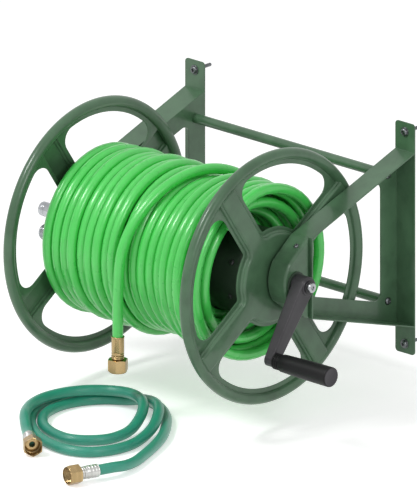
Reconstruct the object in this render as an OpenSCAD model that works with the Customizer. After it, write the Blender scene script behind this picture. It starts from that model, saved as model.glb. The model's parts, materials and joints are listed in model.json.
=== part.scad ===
// Wall mounted hose reel: two pressed wheels on a drum, carried between two wall brackets,
// with a cranked handle on the right, a water swivel on the left, a wound hose and a short
// loose hose. Millimetres. X runs along the reel's axis towards the crank, Y towards the wall,
// Z up. The wall is the plane Y = 0 and the origin is the middle of the four wall screws.

/* [Wheels] */
// Outside diameter of each wheel
wheel_d = 420; // [400:5:440]
// Distance between the middle planes of the two wheels
wheel_gap = 384; // [372:2:400]
// Diameter of the rolled bead round a wheel
bead_d = 18.5; // [16:0.5:20]
// Sheet thickness of a pressed wheel
wheel_sheet = 1.5; // [1:0.1:2]
// Height of the raised hub and spokes above the lips round the windows
spoke_rise = 9; // [6:0.5:9]
// Number of spokes
spokes = 4; // [3:1:5]
// Width of a spoke over both its lips
spoke_w = 51; // [44:1:58]
// Width of the lip on each side of a raised spoke and round the hub
lip_w = 9; // [6:0.5:11]
// Width of the lip between a window and the bead
rim_lip_w = 7.5; // [6:0.5:12]
// Radius of the hub over its lip
hub_r = 82; // [79:1:90]
// Corner radius of a window at the rim
rim_corner_r = 22; // [14:1:26]
// Corner radius of a window at the hub
hub_corner_r = 6; // [4:0.5:10]
// Angle of the first spoke above the direction of the wall
spoke_turn = 34; // [0:1:89]

/* [Drum and axle] */
// Outside diameter of the drum
drum_d = 146; // [136:1:148]
// Sheet thickness of the drum and its end cups
drum_sheet = 1.5; // [1:0.1:2]
// Depth of an end cup inside the drum
cup_depth = 34; // [30:1:45]
// Width of the flange of an end cup
cup_flange_w = 8; // [6:0.5:9]
// Number of screws round each end of the drum
drum_screw_count = 8; // [4:1:10]
// Distance from a drum screw to the wheel
drum_screw_in = 25; // [20:1:28]
// Diameter of a drum screw's head
drum_screw_head_d = 9; // [8:0.5:11]
// Angle of the first drum screw
drum_screw_turn = 18; // [0:1:44]
// Diameter of the axle between its bearings
axle_d = 20; // [18:0.5:22]
// Diameter of the axle's ends, in the crank and in the swivel
axle_end_d = 16; // [14:0.5:17]
// Diameter of the water passage in the axle
water_bore_d = 10; // [8:0.5:11]
// Radius of the spacers between the wheels and the brackets
spacer_r = 18; // [15:0.5:22]

/* [Brackets] */
// Distance from the reel's axis to the wall
axis_stand = 275; // [265:1:300]
// How far the reel's axis lies below the middle of the wall screws
axis_drop = 6; // [0:1:12]
// Distance from a wheel's middle plane to the bracket's web
wheel_to_web = 16; // [15:0.5:20]
// Sheet thickness of a bracket
bracket_sheet = 2; // [1.5:0.1:3]
// Width of a bracket's flanges
flange_w = 42; // [42:0.5:50]
// Height of a bracket's legs at the wall
bracket_h = 294; // [280:2:310]
// Length of the wall flange with its two tabs
tab_span = 388; // [376:2:410]
// Distance from a wall screw to the end of its tab
tab_screw_in = 16; // [14:0.5:20]
// Corner radius of the tabs
tab_corner_r = 6; // [3:0.5:10]
// Height of the web along each leg
leg_web_h = 30; // [24:1:36]
// Width of the web along the wall
wall_web_w = 38; // [30:1:50]
// Distance from the reel's axis to the opening in the web
opening_in = 78; // [70:1:95]
// Corner radius of the opening in the web
opening_corner_r = 12; // [6:1:18]
// Diameter of the two cross tubes
tube_d = 16; // [12:0.5:20]
// Wall thickness of the cross tubes
tube_wall = 1.5; // [1:0.1:2.5]
// Distance from the wall to the middle of a cross tube
tube_stand = 22; // [16:0.5:28]
// Height between the two cross tubes
tube_span = 212; // [200:2:220]
// Diameter of the heads of the cross tube screws
tube_screw_head_d = 12.4; // [10:0.2:14]
// Diameter of a wall screw
wall_screw_d = 6; // [5:0.5:8]
// Diameter of a wall screw's head
wall_screw_head_d = 13; // [11:0.5:15]
// Length of a wall screw behind the bracket
wall_screw_grip = 35; // [25:1:60]

/* [Bearing housings] */
// Depth of a bearing housing from the bracket's web to its face
housing_h = 37; // [34:0.5:38]
// Width of the rounding round the face of a bearing housing
housing_round = 4; // [2:0.5:5]
// Distance from the reel's axis to the bearing housing's straight back
housing_back = 33; // [30:0.5:38]
// Thickness of the plate behind a bearing housing
back_plate_t = 3; // [2:0.5:4]
// Radius of the bush's sleeve
bush_r = 14; // [12.5:0.5:16]
// Radius of the bush's flange
bush_flange_r = 19; // [17:0.5:22]
// Thickness of the bush's flange
bush_flange_t = 3; // [2:0.5:4]

/* [Crank] */
// Distance from the reel's axis to the grip's axis
crank_r = 130; // [110:1:150]
// Angle of the crank arm below the direction away from the wall
crank_turn = 55; // [0:1:359]
// Radius of the arm's boss
arm_boss_r = 16; // [14:0.5:18]
// Radius of the arm's outer end
arm_end_r = 11; // [10:0.5:13]
// Depth of the arm at its boss
arm_boss_depth = 22.5; // [18:0.5:24]
// Depth of the arm at its outer end
arm_end_depth = 15.5; // [10:0.5:18]
// Wall thickness of the arm's channel
arm_wall = 3; // [2:0.5:4]
// Radius of the bolt's head on the crank
crank_bolt_head_r = 8; // [6:0.5:9]
// Radius of the washer under that head
crank_washer_r = 11; // [10:0.5:13]
// Length of the grip with its collar
grip_len = 120; // [100:1:130]
// Radius of the grip beside its collar
grip_neck_r = 14.5; // [13:0.5:16]
// Radius of the grip at its outer end
grip_tip_r = 16.5; // [15:0.5:18]
// Length of the ribbed collar of the grip
grip_collar_len = 15; // [10:1:20]
// Radius of the ribbed collar
grip_collar_r = 13.2; // [12:0.2:14]
// Diameter of the pin that the grip turns on
grip_pin_d = 10; // [8:0.5:12]

/* [Water swivel] */
// Outside diameter of the swivel's barrel
barrel_d = 23.6; // [22:0.2:28]
// Length of the swivel from its inner end to the end of its plug
barrel_len = 56; // [50:1:64]
// Distance between the swivel's barrel and its threaded port
port_drop = 38; // [34:0.5:46]
// Radius over the thread of the port
port_thread_r = 13.2; // [12.5:0.1:14]
// Radius of the bore of the port
port_bore_r = 8; // [6:0.5:9]
// Length of the port's thread
port_thread_len = 16; // [12:1:20]

/* [Wound hose] */
// Outside diameter of the long hose
hose_d = 17.5; // [16:0.5:17.5]
// Bore of the long hose
hose_bore_d = 12.7; // [10:0.1:13]
// Number of turns in the outer layer
turns = 19; // [15:1:19]
// Distance between two turns of the outer layer
turn_pitch = 18.1; // [18:0.1:18.2]
// Middle radius of the outer layer where the free end crosses it
turn_r = 124; // [118:1:128]
// Growth of that radius to the left of the free end
swell_left = 9; // [0:1:12]
// Growth of that radius to the right of the free end
swell_right = 12; // [0:1:14]
// Fall of the growth towards the left wheel
swell_fall = 4; // [0:0.5:6]
// Rise and fall of the turns beside the free end
turn_lump = 3; // [0:0.5:4]
// Sideways lean of the turns
turn_lean = 4; // [0:0.5:5]
// Distance between a wheel and the innermost layer
cavity_w = 84; // [50:1:100]
// How much further each layer reaches towards the wheel than the one below it
core_flare = 28; // [7:1:30]

/* [Hose fittings] */
// Radius of the ferrule on the long hose
ferrule_r = 10; // [9.5:0.1:11]
// Length of the ferrule on the long hose
ferrule_len = 30; // [24:1:36]
// Size of a hose nut across its flats
nut_flats = 29; // [27.5:0.5:32]
// Length of a hose nut
nut_len = 22; // [16:0.5:24]
// Radius of the bore of a hose nut
nut_bore_r = 13.4; // [12.6:0.1:13.4]
// Radius of the ferrules on the loose hose
loose_ferrule_r = 10.5; // [9.8:0.1:12]
// Length of the ferrules on the loose hose
loose_ferrule_len = 26; // [20:1:32]

/* [Loose hose] */
// Outside diameter of the loose hose
loose_d = 17.5; // [15:0.5:17.5]
// How far below the reel's axis the loose hose lies
ground_drop = 250; // [240:1:300]

/* [Hidden] */
$fn = 96;

frame_green = "#4B664C";
hose_green = "#5CC864";
loose_green = "#45917A";
brass = "#C9AE7C";
steel = "#B9BCBE";
dark_steel = "#3A3B3D";
black = "#2E2E30";
grip_grey = "#58565A";
nylon = "#3A4A3C";

// Clearances: parts that only lie beside each other, a pin or shaft in its bore, and parts
// that pass each other on different bodies
seat_gap = 0.1;
fit_gap = 0.1;
run_gap = 0.4;
// Overlap that carries a cut past a face
cut = 1;

axis = [0, -axis_stand, -axis_drop];
wheel_r = wheel_d / 2;
bead_r = bead_d / 2;
bead_mid_r = wheel_r - bead_r;
window_r = wheel_r - bead_d - rim_lip_w;
wheel_x = wheel_gap / 2;
web_x = wheel_x + wheel_to_web;
face_x = web_x + housing_h;
bush_face_x = face_x + bush_flange_t;

drum_r = drum_d / 2;
cup_r = drum_r - drum_sheet - seat_gap;
cup_x = wheel_x - wheel_sheet - seat_gap;
drum_end_x = cup_x - drum_sheet - seat_gap;
drum_screw_x = wheel_x - drum_screw_in;
drum_screw_r = 2.4;
drum_screw_head_h = 2.6;

axle_r = axle_d / 2;
axle_end_r = axle_end_d / 2;

// Water swivel, measured outwards from the left bracket's web
clip_t = 1.5;
clip_r = axle_r + 5;
clip_x = bush_face_x + run_gap;
shoulder_x = clip_x + clip_t + 1;
barrel_x = shoulder_x + run_gap;
plug_len = 8;
barrel_r = barrel_d / 2;
port_x = barrel_x + 17;
seal_r = 1.2;

// Crank, measured outwards from the right bracket's web
arm_boss_x = bush_face_x + run_gap;
arm_x = web_x + flange_w + 1.5;
arm_face_x = arm_x + arm_boss_depth;
boss_face_x = arm_face_x + 1.5;
arm_end_x = arm_x + 5;
arm_end_face_x = arm_end_x + arm_end_depth;
crank_flat = axle_end_d - 3;
bolt_r = 4;
bolt_len = 22;
bolt_head_h = 6;
crank_washer_t = 2;
grip_x = arm_end_face_x + run_gap;
pin_r = grip_pin_d / 2;
pin_head_r = pin_r + 3;
pin_head_t = 2.5;
grip_recess = 7;
grip_end_cap_t = 3;
grip_ribs = 3;

// Bearing housings and brackets, in the plane of the web, measured from the reel's axis
nose_tip = 24;
nose_bend = [-13, 34];
nose_top = [28, 66];
nose_arc_r = (pow(nose_bend[1], 2) + pow(nose_tip + nose_bend[0], 2)) / (2 * (nose_tip + nose_bend[0]));
nose_arc_mid = nose_arc_r - nose_tip;
housing_screw_at = 15;
housing_screw_x = web_x + 25;
housing_screw_head_r = 4.25;
housing_screw_r = 2.2;
housing_screw_head_h = 2.4;

tube_screw_r = 3;
wall_screw_x = web_x + flange_w / 2;
wall_screw_z = tab_span / 2 - tab_screw_in;
wall_shank_r = wall_screw_d / 2 + 0.4;

// Wound hose
hose_r = hose_d / 2;
turn_rings = 24;
turn_sides = 6;
turn_start = 80;
turn_reach = turn_r + turn_lump + hose_r;
turn_chord_dip = (turn_r + swell_right + turn_lump) * (1 - cos(180 / turn_rings));
turn_dip_room = 0.8;
// Where the outer layer is low for the free end, and the run of the rise on each side
low_from = 4;
low_to = 62;
rise_run = 30;
calm_lump = 0.3;
core_r = turn_r - turn_dip_room - turn_chord_dip - hose_r - run_gap;
core_in_r = drum_r + 0.2;
core_layers = max(2, ceil((core_r - core_in_r) / hose_d));
core_x = wheel_x - cavity_w;
tail_sides = 10;
elbow_x = 100;
elbow_r = axle_r + 6;
barb_r = hose_bore_d / 2 - 0.2;
barb_len = 26;
nozzle_r = 8;
nozzle_top = elbow_r + 12;

// The free end's route from behind the top of the coil over to its front, as [along the reel,
// degrees about the axis from the wall upwards], and then down, as [along the reel, down]
tail_lift = hose_d + calm_lump + 0.65;
tail_push = 4.55;
tail_lay = [
    [58, 40], [56, 50], [52, 60], [47, 70], [42, 80], [37, 90], [32, 100], [27, 110],
    [22, 120], [17, 130], [12, 140], [7, 150], [3, 160], [0, 170], [-2, 180]
];
tail_drop = [[-4, 27], [-5, 55], [-5, 84], [-5, 112], [-5, 140]];
tail_route = [
    for (p = tail_lay)
        let (r = turn_r + tail_lift + tail_push * eased((p[1] - 100) / 80))
        [p[0], r * cos(p[1]), r * sin(p[1])],
    for (p = tail_drop) [p[0], -(turn_r + tail_lift + tail_push), -p[1]]
];

// The loose hose's route as [to the right, away from the front, up] in its own lay, which is
// turned about the vertical, with its middle on the ground in front of the reel
lay_turn = 43;
lay_mid = [-10, -202];
loose_r = loose_d / 2;
loose_route = [
    [-97, -126, 8], [-100, -101, 8], [-103, -76, 8], [-106, -50, 13], [-107, -22, 18],
    [-104, 6, 18], [-95, 36, 18], [-76, 66, 18], [-46, 90, 18], [-10, 103, 18],
    [28, 102, 18], [58, 84, 20], [76, 52, 22], [82, 14, 22], [76, -24, 14],
    [60, -58, 4], [32, -84, 0], [-2, -95, 0], [-36, -88, 0], [-60, -62, 0],
    [-75, -28, 0], [-79, 8, 0], [-72, 46, 0], [-50, 80, 0], [-18, 103, 0],
    [20, 112, 0], [56, 102, 2], [84, 74, 12], [102, 36, 18], [106, -6, 18],
    [96, -56, 8], [72, -104, 1], [40, -138, 0], [0, -154, 0], [-36, -144, 0],
    [-64, -116, 0], [-84, -78, 0], [-94, -38, 0], [-98, 4, 0], [-92, 48, 0],
    [-74, 90, 0], [-42, 120, 0], [0, 133, 0], [44, 130, 0], [84, 108, 0],
    [108, 70, 0], [118, 24, 0], [118, -24, 0], [112, -76, 0], [99, -124, 0],
    [83, -168, 0], [70, -202, 1], [54, -232, 4], [34, -254, 8], [10, -268, 8], [-14, -282, 8]
];
loose_last = len(loose_route) - 1;
loose_turn_a = end_turn(loose_route[1], loose_route[0]);
loose_turn_b = end_turn(loose_route[loose_last - 1], loose_route[loose_last]);

// Fittings
nut_collar_r = 11.6;
nut_hex_r = nut_flats / 2 / cos(30);
nut_lip_t = 2.5;
nut_recess = 3;
stem_r = 7;
stem_head_r = 12.2;
stem_head_t = 2;
stem_gap = 8;
stem_bore_r = 4.8;
tail_end = axis + tail_route[len(tail_route) - 1];

// The unit vector along v
function unit(v) = v / norm(v);

// The turn about the vertical of the line from a to b
function end_turn(a, b) = atan2(b[1] - a[1], b[0] - a[0]);

// The direction of a route at its point i
function heading(route, i) =
    unit(route[min(i + 1, len(route) - 1)] - route[max(i - 1, 0)]);

// A route with a smooth point added in the middle of each of its steps
function smoothed(route) = [
    for (i = [0 : len(route) - 2])
        let (
            a = route[max(i - 1, 0)], b = route[i],
            c = route[i + 1], d = route[min(i + 2, len(route) - 1)]
        )
        each [b, (9 * (b + c) - a - d) / 16],
    route[len(route) - 1]
];

// An outline with each of its corners turned into an arc of radius r
function rounded(outline, r, steps = 8) = [
    for (i = [0 : len(outline) - 1])
        let (
            p = outline[i],
            u = unit(outline[(i + len(outline) - 1) % len(outline)] - p),
            v = unit(outline[(i + 1) % len(outline)] - p),
            half = acos(u * v) / 2,
            mid = p + unit(u + v) * r / sin(half),
            from = p + u * r / tan(half) - mid,
            to = p + v * r / tan(half) - mid
        )
        for (k = [0 : steps])
            mid + r * unit(from * (1 - k / steps) + to * k / steps)
];

// A smooth rise from 0 to 1 while t goes from 0 to 1
function eased(t) = let (s = max(0, min(1, t))) s * s * (3 - 2 * s);

// How much higher the outer layer lies at x than where the free end crosses it
function swell(x) =
    swell_left * eased((low_from - x) / rise_run)
        - swell_fall * max(0, min(1, (low_from - rise_run - x) / 140))
        + swell_right * eased((x - low_to) / rise_run);

// How far the turns rise and fall at x
function lump(x) = min(turn_lump, calm_lump + swell(x) * 0.4);

// Point at turn u of the outer layer, around the reel's axis
function turn_point(u) =
    let (
        at = 360 * u + turn_start,
        x = turn_pitch * (u - turns / 2) + turn_lean * (sin(at + 40) - sin(turn_start + 40)),
        r = turn_r + swell(x) + lump(x) * sin(137 * u + 20)
    )
    [x, r * cos(at), r * sin(at)];

winding_route = [for (i = [0 : turns * turn_rings]) turn_point(i / turn_rings)];

// The least distance between one point of the winding and those a turn away from it
function turn_gap(i) = min([
    for (j = [i + turn_rings - 3 : i + turn_rings + 3])
        if (j <= turns * turn_rings) norm(winding_route[i] - winding_route[j])
]) - hose_d;

winding_gap = min([for (i = [0 : (turns - 1) * turn_rings]) turn_gap(i)]);

// A round tube swept along a route, its rings turned by the reference direction
module swept(route, r, sides, reference) {
    last = len(route) - 1;
    points = [
        for (i = [0 : last])
            let (
                t = heading(route, i),
                a = unit(cross(t, reference)),
                b = cross(t, a)
            )
            for (k = [0 : sides - 1])
                route[i] + r * (cos(360 * k / sides) * a + sin(360 * k / sides) * b)
    ];
    walls = [
        for (i = [0 : last - 1])
            for (k = [0 : sides - 1])
                let (
                    p = i * sides + k,
                    q = i * sides + (k + 1) % sides
                )
                each [[p, p + sides, q], [q, p + sides, q + sides]]
    ];
    first_end = [for (k = [1 : sides - 2]) [0, k, k + 1]];
    far_end = [for (k = [1 : sides - 2]) [last * sides, last * sides + k + 1, last * sides + k]];
    polyhedron(points = points, faces = concat(walls, first_end, far_end));
}

// Places children on the reel's axis
module on_axis() translate(axis) children();

// Turns a form along Z so that it points along X, with its X towards the wall and its Y up
module along_x() rotate([90, 0, 90]) children();

// Makes the right side's form, or its mirror image for the left side
module on_side(side) mirror([side < 0 ? 1 : 0, 0, 0]) children();

// A tube or disc along X from x0 to x1
module ring_x(x0, x1, r, bore_r = 0) {
    translate([x0, 0, 0]) along_x() difference() {
        cylinder(h = x1 - x0, r = r);
        if (bore_r > 0) translate([0, 0, -cut]) cylinder(h = x1 - x0 + 2 * cut, r = bore_r);
    }
}

// The hub and spokes of the wheel, with their edges drawn back from the windows by the inset
module spoke_form(inset, outer_r) {
    half_w = spoke_w / 2 - inset;
    hub_out = hub_r - inset;
    hub_round = hub_corner_r + inset;
    hub_mid = [sqrt(pow(hub_out + hub_round, 2) - pow(half_w + hub_round, 2)), half_w + hub_round];
    circle(hub_out);
    for (k = [0 : spokes - 1]) rotate(spoke_turn + 360 * k / spokes) {
        translate([0, -half_w]) square([outer_r - 2, 2 * half_w]);
        for (s = [0, 1]) mirror([0, s]) difference() {
            polygon([
                hub_mid, unit(hub_mid) * (hub_out - 1),
                [hub_out - 4, half_w - 1], [hub_mid[0], half_w - 1]
            ]);
            translate(hub_mid) circle(hub_round);
        }
    }
}

// The rounded corners of the windows at the rim
module rim_corners(outer_r) {
    half_w = spoke_w / 2;
    rise = half_w + rim_corner_r;
    rim_mid = [sqrt(pow(window_r - rim_corner_r, 2) - pow(rise, 2)), rise];
    for (k = [0 : spokes - 1], s = [0, 1])
        rotate(spoke_turn + 360 * k / spokes) mirror([0, s]) difference() {
            polygon([
                rim_mid, [rim_mid[0], half_w - 1], [outer_r - 2, half_w - 1],
                unit(rim_mid) * outer_r
            ]);
            translate(rim_mid) circle(rim_corner_r);
        }
}

// A pressed wheel: a bead rolled round its edge, and a sheet with four windows whose hub and
// spokes stand proud between flat lips, hollow behind
module wheel(side) color(frame_green) on_axis() on_side(side) translate([wheel_x, 0, 0]) along_x() {
    rim_end = bead_mid_r - bead_r + wheel_sheet / 2;
    difference() {
        union() {
            rotate_extrude() translate([bead_mid_r, 0]) circle(bead_r);
            difference() {
                union() {
                    translate([0, 0, -wheel_sheet]) linear_extrude(wheel_sheet) {
                        spoke_form(0, rim_end);
                        rim_corners(rim_end);
                        difference() {
                            circle(rim_end);
                            circle(window_r);
                        }
                    }
                    translate([0, 0, -wheel_sheet / 2]) linear_extrude(spoke_rise + wheel_sheet / 2)
                        spoke_form(lip_w, bead_mid_r - 1);
                }
                translate([0, 0, -wheel_sheet - cut]) linear_extrude(spoke_rise + cut)
                    intersection() {
                        spoke_form(lip_w + wheel_sheet, bead_mid_r - 1);
                        circle(rim_end - wheel_sheet);
                    }
            }
        }
        rotate_extrude() translate([bead_mid_r, 0]) circle(bead_r - wheel_sheet);
        rotate_extrude() translate([bead_mid_r, -bead_r / 2]) square([2, bead_r + cut], center = true);
        cylinder(h = 2 * spoke_rise + cut, r = axle_r + seat_gap);
    }
}

// The drum: a steel tube between the two wheels' cups, with one hole for the hose's inner end
module drum() color(dark_steel) on_axis() difference() {
    ring_x(-drum_end_x, drum_end_x, drum_r, drum_r - drum_sheet);
    translate([-elbow_x, 0, 0]) cylinder(h = drum_r + cut, r = hose_r + 1);
    for (side = [-1, 1]) drum_screw_places(side)
        cylinder(h = 3 * drum_sheet, r = drum_screw_r + seat_gap, center = true);
}

// The places of one end's drum screws, on the drum's surface with Z pointing outwards
module drum_screw_places(side) {
    for (k = [0 : drum_screw_count - 1])
        rotate([drum_screw_turn + 360 * k / drum_screw_count, 0, 0])
            translate([side * drum_screw_x, drum_r, 0]) rotate([-90, 0, 0]) children();
}

// A drum cup: the flanged ring behind a wheel's hub that the drum slides over
module drum_cup(side) color(dark_steel) on_axis() difference() {
    on_side(side) {
        ring_x(cup_x - drum_sheet, cup_x, hub_r - 2, hub_r - 2 - cup_flange_w - 4);
        ring_x(cup_x - cup_depth, cup_x, cup_r, cup_r - drum_sheet);
    }
    drum_screw_places(side)
        cylinder(h = 6 * drum_sheet, r = drum_screw_r + seat_gap, center = true);
}

// The screws through the drum into its cups
module drum_screws() color(black) on_axis() for (side = [-1, 1]) drum_screw_places(side) {
    head_r = drum_screw_head_d / 2;
    translate([0, 0, seat_gap]) cylinder(h = drum_screw_head_h * 0.6, r = head_r);
    translate([0, 0, seat_gap + drum_screw_head_h * 0.6])
        cylinder(h = drum_screw_head_h * 0.4, r1 = head_r, r2 = head_r * 0.7);
    translate([0, 0, -3 * drum_sheet]) cylinder(h = 3 * drum_sheet + 1, r = drum_screw_r);
}

// The axle: it turns in both bushes, carries the crank on flats at its right end and brings
// the water from the swivel at its left end to the elbow inside the drum
module axle() color(steel) on_axis() difference() {
    union() {
        ring_x(-shoulder_x, arm_boss_x, axle_r);
        ring_x(-barrel_x - barrel_len + plug_len + 3, 0, axle_end_r);
        intersection() {
            ring_x(0, boss_face_x - 1, axle_end_r);
            on_crank() translate([0, -crank_flat / 2, -axle_r])
                cube([boss_face_x, crank_flat, axle_d]);
        }
    }
    ring_x(-barrel_x - barrel_len + plug_len + 7, -elbow_x + water_bore_d / 2, water_bore_d / 2);
    translate([-elbow_x, 0, 0]) cylinder(h = axle_d, r = water_bore_d / 2);
    translate([-port_x, 0, -axle_d]) cylinder(h = axle_d, r = water_bore_d / 2 - 1.5);
    for (x = seal_places) translate([-x, 0, 0]) rotate([0, -90, 0])
        rotate_extrude() translate([axle_end_r, 0]) circle(seal_r);
    ring_x(boss_face_x - bolt_len - 1, boss_face_x + cut, bolt_r + fit_gap);
}

// The distances of the two seals along the axle
seal_places = [barrel_x + 5, port_x + 12];

// The seals between the axle and the swivel
module swivel_seals() color(black) on_axis() for (x = seal_places) translate([-x, 0, 0])
    rotate([0, -90, 0]) rotate_extrude() intersection() {
        translate([axle_end_r, 0]) circle(seal_r - 0.15);
        translate([0, -seal_r]) square([axle_end_r + fit_gap / 2, 2 * seal_r]);
    }

// A spacer between a wheel's hub and the bracket
module spacer(side) color(nylon) on_axis() on_side(side)
    ring_x(wheel_x + spoke_rise + seat_gap, web_x - run_gap, spacer_r, axle_r + seat_gap);

// The clip that keeps the axle in its left bush
module axle_clip() color(steel) on_axis() difference() {
    ring_x(-clip_x - clip_t, -clip_x, clip_r, axle_r + seat_gap);
    translate([-clip_x - clip_t - cut, -3, 0]) cube([clip_t + 2 * cut, 6, clip_r + cut]);
}

// The elbow on the axle, with a barb for the hose's inner end
module outlet_elbow() color(brass) on_axis() difference() {
    union() {
        ring_x(-elbow_x - 14, -elbow_x + 14, elbow_r);
        translate([-elbow_x, 0, 0]) cylinder(h = nozzle_top, r = nozzle_r);
        translate([-elbow_x, 0, nozzle_top]) cylinder(h = barb_len, r = barb_r - 0.6);
        for (k = [0 : 3]) translate([-elbow_x, 0, nozzle_top + 3 + 6 * k])
            cylinder(h = 4, r1 = barb_r, r2 = barb_r - 0.6);
    }
    ring_x(-elbow_x - 15, -elbow_x + 15, axle_r + seat_gap);
    translate([-elbow_x, 0, 0]) cylinder(h = 2 * drum_r, r = water_bore_d / 2 - 0.5);
}

// The hose's inner end, from the elbow's barb through the drum to the inner layers
module inner_hose() color(hose_green) on_axis() translate([-elbow_x, 0, nozzle_top + seat_gap]) difference() {
    cylinder(h = core_in_r - nozzle_top - 2 * seat_gap - 0.4, r = hose_r);
    translate([0, 0, -cut]) cylinder(h = drum_d, r = hose_bore_d / 2);
}

// The outside of the inner layers at x, close below the outer layer
function core_top(x) = core_r + swell(x) - lump(x) + calm_lump;

// How far the layer k of the inner ones reaches along the reel
function layer_reach(k) = min(core_x + core_flare * k, wheel_x - wheel_sheet - hose_r) - hose_r;

// The middle radius of the layer k of the inner ones at its end on a side
function layer_r(side, k) = let (
        lowest = core_in_r + hose_r + 0.3,
        highest = core_top(side * layer_reach(core_layers - 1)) - hose_r - 0.3
    )
    lowest + (highest - lowest) * k / (core_layers - 1);

// The inner layers of the hose as one ring, with the ends of its layers rounded
module hose_core() color(hose_green) on_axis() rotate([0, 90, 0]) rotate_extrude() {
    last = core_layers - 1;
    over = [
        -layer_reach(last),
        for (k = [3 : -1 : 0]) low_from - rise_run * k / 3,
        for (k = [0 : 3]) low_to + rise_run * k / 3,
        layer_reach(last)
    ];
    polygon([
        [core_in_r, -layer_reach(0)],
        for (k = [0 : last]) [layer_r(-1, k), -layer_reach(k)],
        for (x = over) [core_top(x), x],
        for (k = [last : -1 : 0]) [layer_r(1, k), layer_reach(k)],
        [core_in_r, layer_reach(0)]
    ]);
    for (side = [-1, 1], k = [0 : last])
        translate([layer_r(side, k), side * layer_reach(k)]) circle(hose_r);
}

// The outer layer of the hose as one winding tube
module hose_winding() color(hose_green) {
    echo(str("least gap of the winding to itself: ", winding_gap, " mm"));
    on_axis() swept(winding_route, hose_r, turn_sides, [1, 0, 0]);
}

// Turns the crank's own form so that its arm lies along Y
module on_crank() rotate([crank_turn, 0, 0]) children();

// Places children on the grip's axis
module on_grip() translate([0, -crank_r * cos(crank_turn), -crank_r * sin(crank_turn)]) children();

// The crank's arm: a tapered channel with a boss at each end
module crank_arm() color(black) on_axis() difference() {
    union() {
        difference() {
            hull() {
                ring_x(arm_x, arm_face_x, arm_boss_r);
                on_grip() ring_x(arm_end_x, arm_end_face_x, arm_end_r);
            }
            hull() {
                ring_x(arm_x - cut, arm_face_x - arm_wall, arm_boss_r - arm_wall);
                on_grip() ring_x(arm_x - cut, arm_end_face_x - arm_wall, arm_end_r - arm_wall);
            }
        }
        ring_x(arm_boss_x, boss_face_x, arm_boss_r);
        on_grip() ring_x(arm_end_x, arm_end_face_x - 1, pin_r + arm_wall);
    }
    intersection() {
        ring_x(arm_boss_x - cut, boss_face_x + cut, axle_end_r + seat_gap);
        on_crank() translate([0, -crank_flat / 2 - seat_gap, -axle_r])
            cube([2 * boss_face_x, crank_flat + 2 * seat_gap, axle_d]);
    }
    on_grip() ring_x(arm_end_x - cut, arm_end_face_x + cut, pin_r + seat_gap);
}

// The washer under the crank's bolt
module crank_washer() color(dark_steel) on_axis()
    ring_x(boss_face_x + seat_gap, boss_face_x + crank_washer_t, crank_washer_r, bolt_r + seat_gap);

// The socket head bolt that holds the crank on the axle
module crank_bolt() color(steel) on_axis() difference() {
    head_x = boss_face_x + crank_washer_t + seat_gap;
    union() {
        ring_x(boss_face_x - bolt_len, head_x + cut, bolt_r);
        ring_x(head_x, head_x + bolt_head_h - 1, crank_bolt_head_r);
        translate([head_x + bolt_head_h - 1, 0, 0]) along_x()
            cylinder(h = 1, r1 = crank_bolt_head_r, r2 = crank_bolt_head_r - 1);
    }
    translate([head_x + bolt_head_h - 3.5, 0, 0]) along_x() cylinder(h = 5, r = 3.6, $fn = 6);
}

// The pin that the grip turns on, headed at both ends
module grip_pin() color(steel) on_axis() on_grip() {
    head_x = grip_x + grip_len - grip_recess + seat_gap;
    ring_x(arm_end_x - pin_head_t, arm_end_x - seat_gap, pin_head_r);
    ring_x(arm_end_x - cut, head_x + cut, pin_r);
    ring_x(head_x, head_x + pin_head_t, pin_head_r);
}

// The grip: a tapered sleeve with a ribbed collar, free to turn on its pin
module grip() color(black) on_axis() on_grip() translate([grip_x, 0, 0]) along_x() rotate_extrude() {
    body = grip_len - grip_collar_len;
    rib = grip_collar_len / (grip_ribs * 2 + 1);
    bore_r = pin_r + fit_gap;
    recess_r = pin_head_r + run_gap;
    translate([bore_r, 0]) square([grip_collar_r - 1 - bore_r, grip_collar_len]);
    for (k = [0 : grip_ribs - 1]) translate([bore_r, rib * (2 * k + 0.5)])
        square([grip_collar_r - bore_r, rib]);
    difference() {
        polygon([
            [bore_r, grip_collar_len - cut], [grip_collar_r - 2, grip_collar_len - cut],
            [grip_neck_r - 1.5, grip_collar_len], [grip_neck_r, grip_collar_len + 1.5],
            [grip_neck_r + (grip_tip_r - grip_neck_r) * 0.8, grip_collar_len + body * 0.6],
            [grip_tip_r, grip_len - 3], [grip_tip_r - 1.5, grip_len], [bore_r, grip_len]
        ]);
        translate([0, grip_len - grip_recess]) square([recess_r, grip_recess + cut]);
        translate([0, grip_len - grip_end_cap_t]) square([recess_r + 2, grip_recess]);
    }
}

// The cap that closes the grip's end
module grip_end_cap() color(grip_grey) on_axis() on_grip() ring_x(
    grip_x + grip_len - grip_end_cap_t + seat_gap, grip_x + grip_len + 0.5,
    pin_head_r + run_gap + 2 - seat_gap
);

// The round end of the nose, from its upper bend to its lower one
nose_steps = 14;
nose_arc = [
    for (k = [0 : nose_steps])
        let (turn = asin(nose_bend[1] / nose_arc_r) * (1 - 2 * k / nose_steps))
        [nose_arc_mid - nose_arc_r * cos(turn), nose_arc_r * sin(turn)]
];

// The side of a bracket in the plane of its web, as [towards the wall, up] from the reel's axis
module web_form() {
    wall = axis_stand - bracket_sheet / 2;
    polygon(concat(nose_arc, [
        [nose_top[0], -nose_top[1]], [wall, leg_edge(leg_line(-1), wall, 0)],
        [wall, leg_edge(leg_line(1), wall, 0)], nose_top
    ]));
}

// The opening in a web, drawn back from the legs and rounded at its corners
module web_opening() {
    upper = leg_line(1);
    lower = leg_line(-1);
    wall = axis_stand - wall_web_w;
    polygon(rounded([
        [opening_in, leg_edge(upper, opening_in, leg_web_h)],
        [wall, leg_edge(upper, wall, leg_web_h)],
        [wall, leg_edge(lower, wall, -leg_web_h)],
        [opening_in, leg_edge(lower, opening_in, -leg_web_h)]
    ], opening_corner_r));
}

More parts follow.
